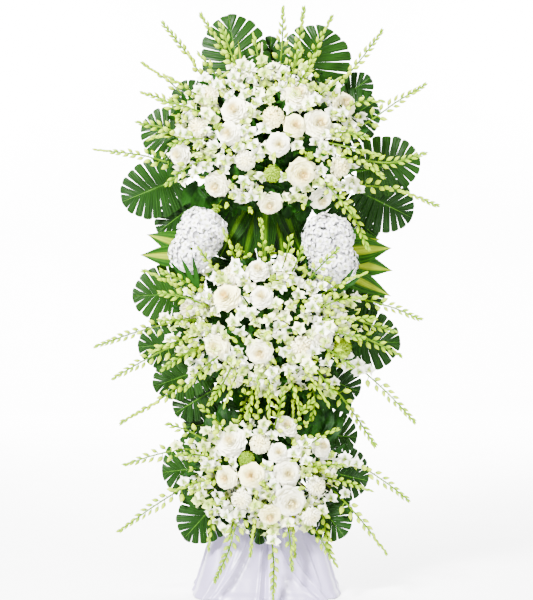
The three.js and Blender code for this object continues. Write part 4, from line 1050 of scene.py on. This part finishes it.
class Cluster:
    """A dome of flowers, cut into wedges that each grow from a peg in the foam."""

    def __init__(self, block):
        self.block = block
        self.x, self.z, self.half_x, self.half_z, self.rim, self.rise = DOMES[block]
        count, self.first = WEDGES[block]
        kinds = ("dark", "stem", "bud", "petal", "rose")
        self.wedges = [{kind: [] for kind in kinds} for _ in range(count)]
        self.heads = []
        self.taken = []

    def share(self, x, z):
        """How far out a place is: 0 in the middle and 1 at the rim."""
        return math.hypot((x - self.x) / self.half_x, (z - self.z) / self.half_z)

    def at(self, share, angle):
        c, s = math.cos(angle), math.sin(angle)
        return self.x + share * self.half_x * c, self.z + share * self.half_z * s

    def angle(self, x, z):
        return math.atan2(z - self.z, x - self.x)

    def depth(self, x, z):
        dx, dz = (x - self.x) / self.half_x, (z - self.z) / self.half_z
        return self.rim - self.rise * np.sqrt(np.maximum(0, 1 - dx**2 - dz**2))

    def facing(self, x, z):
        return unit(vec((x - self.x) / self.half_x, -1.3, (z - self.z) / self.half_z))

    def number(self, x, z):
        count = len(self.wedges)
        angle = (math.degrees(self.angle(x, z)) - self.first) % 360
        return int(angle // (360 / count)) % count

    def wedge(self, x, z):
        return self.wedges[self.number(x, z)]

    def over_skirt(self, z, limit):
        return self.block == "bottom" and z < limit

    def scattered(self, spacing, reach):
        """Even but irregular places on the dome, seen from the front."""
        found = []
        for _ in range(9000):
            x = self.x + self.half_x * reach * rng.uniform(-1, 1)
            z = self.z + self.half_z * reach * rng.uniform(-1, 1)
            if self.share(x, z) <= reach and not near(x, z, found, spacing):
                found.append((x, z, 0.0))
        return [(x, z) for x, z, _ in found]

    def root(self, x, z):
        """Where the stem of a flower starts: in the core, or at the peg's head."""
        number = self.number(x, z)
        if CORE_ANGLES[self.block][number] is None or self.over_skirt(z, self.z + 10):
            return self.heads[number]
        pull = min(1, 0.66 / max(self.share(x, z), 1e-6))
        x, z = self.x + (x - self.x) * pull, self.z + (z - self.z) * pull
        return vec(x, 0.5 * (self.depth(x, z) + 19 + CORE_BACK), z)

    def stem(self, x, z, end, thick=1.9):
        self.wedge(x, z)["stem"].append(stem_to(self.root(x, z), end, thick))

    def core(self, start, end):
        """The relief core of a wedge, behind its flowers."""
        share = np.linspace(0.04, 0.76, 12)[:, None]
        angle = np.linspace(math.radians(start), math.radians(end), 22)[None]
        edge = 1 / np.hypot(np.cos(angle) / self.half_x, np.sin(angle) / self.half_z)
        x = self.x + share * edge * np.cos(angle)
        z = self.z + share * edge * np.sin(angle)
        y = self.depth(x, z) + 38 + rng.uniform(-5, 5, x.shape)
        back = [stacked(x[row], CORE_BACK, z[row]) for row in (-1, 0)]
        return grid_shape(np.concatenate([stacked(x, y, z), back]), 0.3, 0.3, 0.3)

    def add_pegs(self):
        for i, (parts, angles) in enumerate(zip(self.wedges, CORE_ANGLES[self.block])):
            heading = math.radians(self.first + 360 / len(self.wedges) * (i + 0.5))
            x, z = self.x + 64 * math.cos(heading), FOAMS[self.block][0] + 34 * math.sin(heading)
            head = vec(x, CORE_BACK - 6 if angles else FOAM_FRONT - 8, z)
            if angles:
                parts["dark"].append(self.core(*angles))
            parts["stem"].append(tube([vec(x, FOAM_FRONT + ROOT_DEPTH, z), head], 8, 8))
            self.heads.append(head)

    def add_blooms(self):
        """Roses, heads of many petals for each third one, and a few green heads."""
        for number, (x, y, z, radius) in enumerate(ROSES[self.block]):
            shapes = MUM_SHAPES if number % 3 == 2 else ROSE_SHAPES
            shape, kind = shapes[number % len(shapes)], "rose"
            if (self.block, number) in GREEN_HEADS:
                shape, kind = MUM_SHAPES[0], "bud"
            place, out = vec(x, y, z), self.facing(x, z)
            turn = turned(out, rng.uniform(0, 6))
            self.wedge(x, z)[kind].append(placed(shape, turn, place, radius, rng.uniform(0, 1)))
            self.stem(x, z, place - 0.6 * radius * out)
            self.taken.append((x, z, radius))
        for x, y, z in SPIKES[self.block]:
            place, out = vec(x, y, z), self.facing(x, z)
            bud_spike(place, out, self.wedge(x, z))
            self.stem(x, z, place - 20 * out)
            self.taken.append((x, z, 12))

    def chains(self):
        """Places in short zigzag rows that run outwards, and loose ones between them."""
        found = []
        for x, z in self.scattered(52, 0.9):
            spread = math.pi if self.share(x, z) < 0.4 else 0.6
            heading = self.angle(x, z) + rng.uniform(-1, 1) * spread
            c, s = math.cos(heading), math.sin(heading)
            for k in range(5):
                off = (8 if k % 2 else -8) + rng.uniform(-4, 4)
                far = 25 * k + rng.uniform(-3, 3)
                found.append((x + far * c - off * s, z + far * s + off * c))
        return found + self.scattered(30, 0.9)

    def low_flowers(self):
        """Places of flowers over the skirt's top, after the sprays that hang there."""
        places = [(x, z, -150 - rng.uniform(0, 24)) for x, z in LOW_FLOWERS]
        for x, z, end_x, end_z in LOW_SPRAYS:
            middle = vec(0.4 * x + 0.6 * end_x, -176, 0.5 * (z + end_z))
            way = [self.heads[self.number(x, z)], vec(x, -150, z), middle, vec(end_x, -190, end_z)]
            along_spray(*curve(way, 22), 0.5, self.wedge(x, z))
        return places

    def add_flowers(self):
        """Orchid flowers that fill the dome round the blooms, out to a ragged rim."""
        places = [(x, z, y) for x, y, z in LOOSE_FLORETS[self.block]]
        chained = self.chains()
        if self.block == "bottom":
            places += self.low_flowers()
        kept = []
        for x, z in chained:
            angle = self.angle(x, z)
            rim = 0.88 + 0.09 * math.sin(5 * angle + self.z) + 0.05 * math.sin(11 * angle)
            outside = self.share(x, z) > rim or self.over_skirt(z, 250)
            if outside or near(x, z, kept, 22):
                continue
            kept.append((x, z, 0.0))
            places.append((x, z, self.depth(x, z) + 8 + rng.uniform(-16, 18)))
        for x, z, y in places:
            if near(x, z, self.taken, 7):
                continue
            place, out = vec(x, y, z), self.facing(x, z)
            face = unit(out + rng.uniform(-0.55, 0.55, 3))
            self.wedge(x, z)["petal"].append(orchid_flower(face, place, 21, 27, 0.9))
            self.stem(x, z, place - 2 * out, 1.1)

    def add_leaflets(self):
        """Small dark leaves under the flowers, with bud heads between them."""
        for x, z in self.scattered(27, 0.97):
            if self.over_skirt(z, 300):
                continue
            parts, out, depth = self.wedge(x, z), self.facing(x, z), self.depth(x, z)
            start = vec(x, depth + 32, z)
            for _ in range(1 + int(rng.uniform() < 0.5)):
                aim = unit(out * rng.uniform(0.2, 1.0) + rng.uniform(-1, 1, 3) * vec(1, 0.4, 1))
                turn = laid_along(aim, np.cross(rng.uniform(-1, 1, 3), aim))
                size, tone = rng.uniform(38, 58), rng.uniform(0, 1)
                parts["dark"].append(placed(LEAFLET, turn, start, size, tone))
            if rng.uniform() < 0.75 and not near(x, z, self.taken, 6):
                tip = vec(x, depth - rng.uniform(10, 24), z) + rng.uniform(-8, 8, 3)
                parts["stem"].append(stem_to(start, tip, 0.9))
                for _ in range(3):
                    aim = unit(out + rng.uniform(-0.8, 0.8, 3))
                    size, tone = rng.uniform(14, 22), rng.uniform(0, 0.8)
                    parts["bud"].append(bud(aim, tip, size, tone))

    def add_collar(self):
        """Dark leaves behind the rim, and those that hang between the clusters."""
        for k in range(COLLAR):
            angle = 2 * math.pi * (k + rng.uniform(-0.3, 0.3)) / COLLAR
            x, z = self.at(rng.uniform(0.62, 0.76), angle)
            if self.over_skirt(z, 300):
                continue
            start = vec(x, rng.uniform(-78, -52), z)
            sway_x, sway_z = rng.uniform(-0.4, 0.4), rng.uniform(-0.4, 0.4)
            aim = unit(vec(math.cos(angle) + sway_x, 0.25, math.sin(angle) + sway_z))
            turn = laid_along(aim, vec(rng.uniform(-0.5, 0.5), 1, rng.uniform(-0.5, 0.5)))
            size, tone = rng.uniform(80, 112), rng.uniform(0, 0.6)
            self.wedge(x, z)["dark"].append(placed(LEAFLET, turn, start, size, tone))
        for x, z, heading, long in FILLERS[self.block]:
            heading = math.radians(heading)
            aim = unit(vec(math.cos(heading), 0.15, math.sin(heading)))
            turn = laid_along(aim, vec(rng.uniform(-0.3, 0.3), 1, 0))
            start = vec(x, rng.uniform(-66, -52), z)
            leaf = placed(BROAD_LEAFLET, turn, start, long, rng.uniform(0, 0.6))
            self.wedge(x, z)["dark"].append(leaf)

    def add_short_sprays(self):
        """Short sprays that stand out round the rim, clear of waist and skirt."""
        count = SHORT_SPRAYS[self.block]
        for k in range(count):
            angle = 2 * math.pi * (k + rng.uniform(0.1, 0.9)) / count
            x, z = self.at(rng.uniform(0.55, 0.85), angle)
            over_waist = self.block == "top" and z < self.z and abs(x) < 150
            if over_waist or self.over_skirt(z, self.z - 60):
                continue
            base = vec(x, self.depth(x, z) + 10, z)
            way = unit(vec(math.cos(angle), -rng.uniform(0.1, 0.5), math.sin(angle) - 0.15))
            end = base + way * rng.uniform(110, 170)
            end[1] = max(end[1], -238)
            middle = 0.5 * (base + end) + vec(rng.uniform(-10, 10), -12, rng.uniform(-4, 14))
            line, long = curve([self.root(x, z), base, middle, end], 22)
            along_spray(line, long, rng.uniform(0.2, 0.6), self.wedge(x, z))

    def build(self):
        self.add_pegs()
        self.add_blooms()
        self.add_flowers()
        self.add_leaflets()
        self.add_collar()
        self.add_short_sprays()
        names = {"greens": ("dark", "stem", "bud"), "orchids": ("petal",), "roses": ("rose",)}
        for i, parts in enumerate(self.wedges):
            pieces(f"flowers_{self.block}_{i + 1}", "bloom", parts, names)


# Hydrangeas
def hydrangea_floret():
    one = petal(0.94, 0.44, 0.10, 0.26, 0.16, rows=3)
    return merged([about_z(one, k * math.pi / 2, 0.03 * (k % 2)) for k in range(4)])


def hydrangea(side):
    """Two heads of small flowers on one stem: an outer layer, and one under it painted darker as shade.
    """
    sign = SIGNS[side]
    heads = [(vec(*place), radius) for *place, radius in HYDRANGEAS[side]]
    (high, _), (low, _) = heads
    route = [vec(sign * 45, -48, WAIST_ROOT), vec(sign * 100, -66, 925), low, high]
    stems, flowers = [tube(curve(route, 20)[0], 3.5, 6)], []
    flower = hydrangea_floret()
    for number, (centre, radius) in enumerate(heads):
        other, reach = heads[1 - number]
        # Each layer: share of the radius, spacing and painted shade, full for the under layer
        for share, spacing, shade in ((1.0, 26.5, 0.0), (0.86, 24.0, 1.0)):
            count = int(4 * math.pi * (share * radius / spacing) ** 2 * 1.15)
            for k in range(count):
                up = 1 - 2 * (k + 0.5) / count
                angle = GOLDEN_ANGLE * k + number
                flat = math.sqrt(1 - up * up)
                out = vec(flat * math.cos(angle), up, flat * math.sin(angle))
                swell = 1 + 0.05 * math.sin(4 * angle + 3 * up)
                place = centre + out * radius * share * swell + rng.uniform(-2.5, 2.5, 3)
                if np.linalg.norm(place - other) < 0.9 * reach:
                    continue
                aim = unit(out + rng.uniform(-0.45, 0.45, 3))
                size, tone = rng.uniform(14, 17.5), max(shade, rng.uniform(0, 0.3))
                flowers.append(placed(flower, turned(aim, rng.uniform(0, 3)), place, size, tone))
                if k % 4 == 0:
                    stems.append(tube([centre, place - out], 0.8, 3))
    groups = {"hydrangea": flowers, "stem": stems}
    piece(f"hydrangea_heads_{side}", groups, "hydrangea", f"hydrangea_{side}")


# The satin skirt
def skirt_section(z):
    """The skirt's half width, half depth and middle at a height."""
    half, front, back = (np.interp(z, SKIRT_HEIGHTS, row) for row in SKIRT_REACH)
    return half, (back - front) / 2, (back + front) / 2


def skirt_folds(z, angle):
    """How far the cloth stands out: soft waves, sharp pleats and a rolled hem."""
    share = z / SKIRT_TOP
    fall = 1 - share
    fold = fall * (3 * np.cos(7 * angle + 0.6) - 3)
    fold = fold + 0.9 * fall**0.7 * np.sin(17 * angle + 1.2 * np.sin(3 * angle) + 0.8 * z / 100)
    fold = fold + 0.5 * np.sin(31 * angle + 2 * np.sin(5 * angle)) * (0.25 + 0.75 * fall)
    for centre, spread, height, slant, bend in PLEATS:
        centre = centre + slant * (share - 0.5) + bend * (share - 0.5) ** 2
        way = np.angle(np.exp(1j * (angle - centre)))
        crest = np.exp(-np.abs(way / spread) ** 1.3)
        valley = np.exp(-(((way - 2.2 * spread) / (1.9 * spread)) ** 2))
        fold = fold + 1.25 * height * (0.2 + 0.8 * fall**0.6) * (crest - 0.7 * valley)
    return fold + 2.2 * (np.exp(-(((z - 9) / 7) ** 2)) - 0.8 * np.exp(-(((z - 24) / 9) ** 2)))


def skirt():
    """The skirt as one open sheet, with its folds made by moving its points."""
    angle = np.linspace(0, 2 * math.pi, 441)[None]
    z = np.linspace(SKIRT_HEM, SKIRT_TOP, 57)[:, None]
    half_x, half_y, middle = skirt_section(z)
    square = (np.abs(np.cos(angle)) / half_x) ** 6 + (np.abs(np.sin(angle)) / half_y) ** 6
    reach = square ** (-1 / 6) - 1 + skirt_folds(z, angle)
    points = stacked(reach * np.cos(angle), middle + reach * np.sin(angle), z)
    shape = grid_shape(points, z / SKIRT_TOP, angle / 6.3, 0.5)
    obj = piece("satin_skirt", {"satin": [shape]}, "satin", "skirt")
    width, length = (
        float(np.linalg.norm(np.diff(points, axis=1 - i), axis=2).sum(1 - i).max()) * MM
        for i in range(2)
    )
    area = sum(p.area for p in obj.data.polygons)
    return {"flat": [width, length], "area": area}


for block, leaves in LEAVES.items():
    for i, rows in enumerate(leaves):
        split_leaf(f"leaf_{block}_{i + 1}", block, rows)
for side in SIGNS:
    waist_leaves(side)
    hydrangea(side)
centre_straps()
top_strap()
for name in SPRAYS:
    orchid_group(name)
for block in DOMES:
    Cluster(block).build()
cloth = skirt()

for name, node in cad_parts.items():
    if node.hide_render:
        continue
    kind = "foam" if name.startswith("foam") else "bamboo" if name == "top_stake" else "wood"
    node.data.materials.clear()
    node.data.materials.append(MATERIALS[kind])
    for polygon in node.data.polygons:
        polygon.use_smooth = False

# Floor and backdrop: one sheet that bends up behind the part
profile = [(-HALF_STAGE, 0), (-FLAT_FLOOR, 0), (FLAT_FLOOR, 0), (WALL - WALL_BEND, 0)]
for k in range(1, 13):
    angle = math.radians(90 * k / 12)
    away, up = WALL_BEND * math.sin(angle), WALL_BEND * (1 - math.cos(angle))
    profile.append((WALL - WALL_BEND + away, up))
profile.append((WALL, WALL_TOP))
stage_points = vec(*([[x, y, z] for x in (-HALF_STAGE, HALF_STAGE)] for y, z in profile))
stage_shape = grid_shape(stage_points, 0.0, 0.0, 0.0)
backdrop = mesh_object("backdrop", {"floor": [stage_shape]}, setback=0)

# Light and camera, in metres
world = bpy.data.worlds.new("studio")
world.use_nodes = True
background = world.node_tree.nodes["Background"]
background.inputs["Color"].default_value = (1.0, 1.0, 1.0, 1.0)
background.inputs["Strength"].default_value = 0.42
bpy.context.scene.world = world


def area_light(name, place, target, power, width):
    data = bpy.data.lights.new(name, "AREA")
    data.energy = power
    data.size = width
    light = bpy.data.objects.new(name, data)
    light.location = place
    light.rotation_euler = Matrix(turned(vec(*place) - vec(*target)).tolist()).to_euler()
    bpy.context.scene.collection.objects.link(light)


area_light("key", (-2.0, -3.4, 3.6), (0, 0, 1.0), 1700, 0.9)
area_light("fill", (2.6, -3.6, 1.8), (0, 0, 0.9), 230, 2.0)
for name, side in (("backdrop_left", -1), ("backdrop_right", 1)):
    area_light(name, (3.2 * side, 6.0, 3.8), (1.4 * side, WALL * MM, 1.2), 1300, 2.4)
area_light("stage", (0, 3.8, 5.0), (0, 3.9, 0), 2900, 5.0)

camera_data = bpy.data.cameras.new("camera")
camera_data.lens = 100
camera_data.sensor_width = 36
camera_data.clip_end = 60
camera = bpy.data.objects.new("camera", camera_data)
camera.location = (0.0, -5.16, 0.98)
camera.rotation_euler = (math.radians(90 - 0.85), 0, 0)
bpy.context.scene.collection.objects.link(camera)
bpy.context.scene.camera = camera
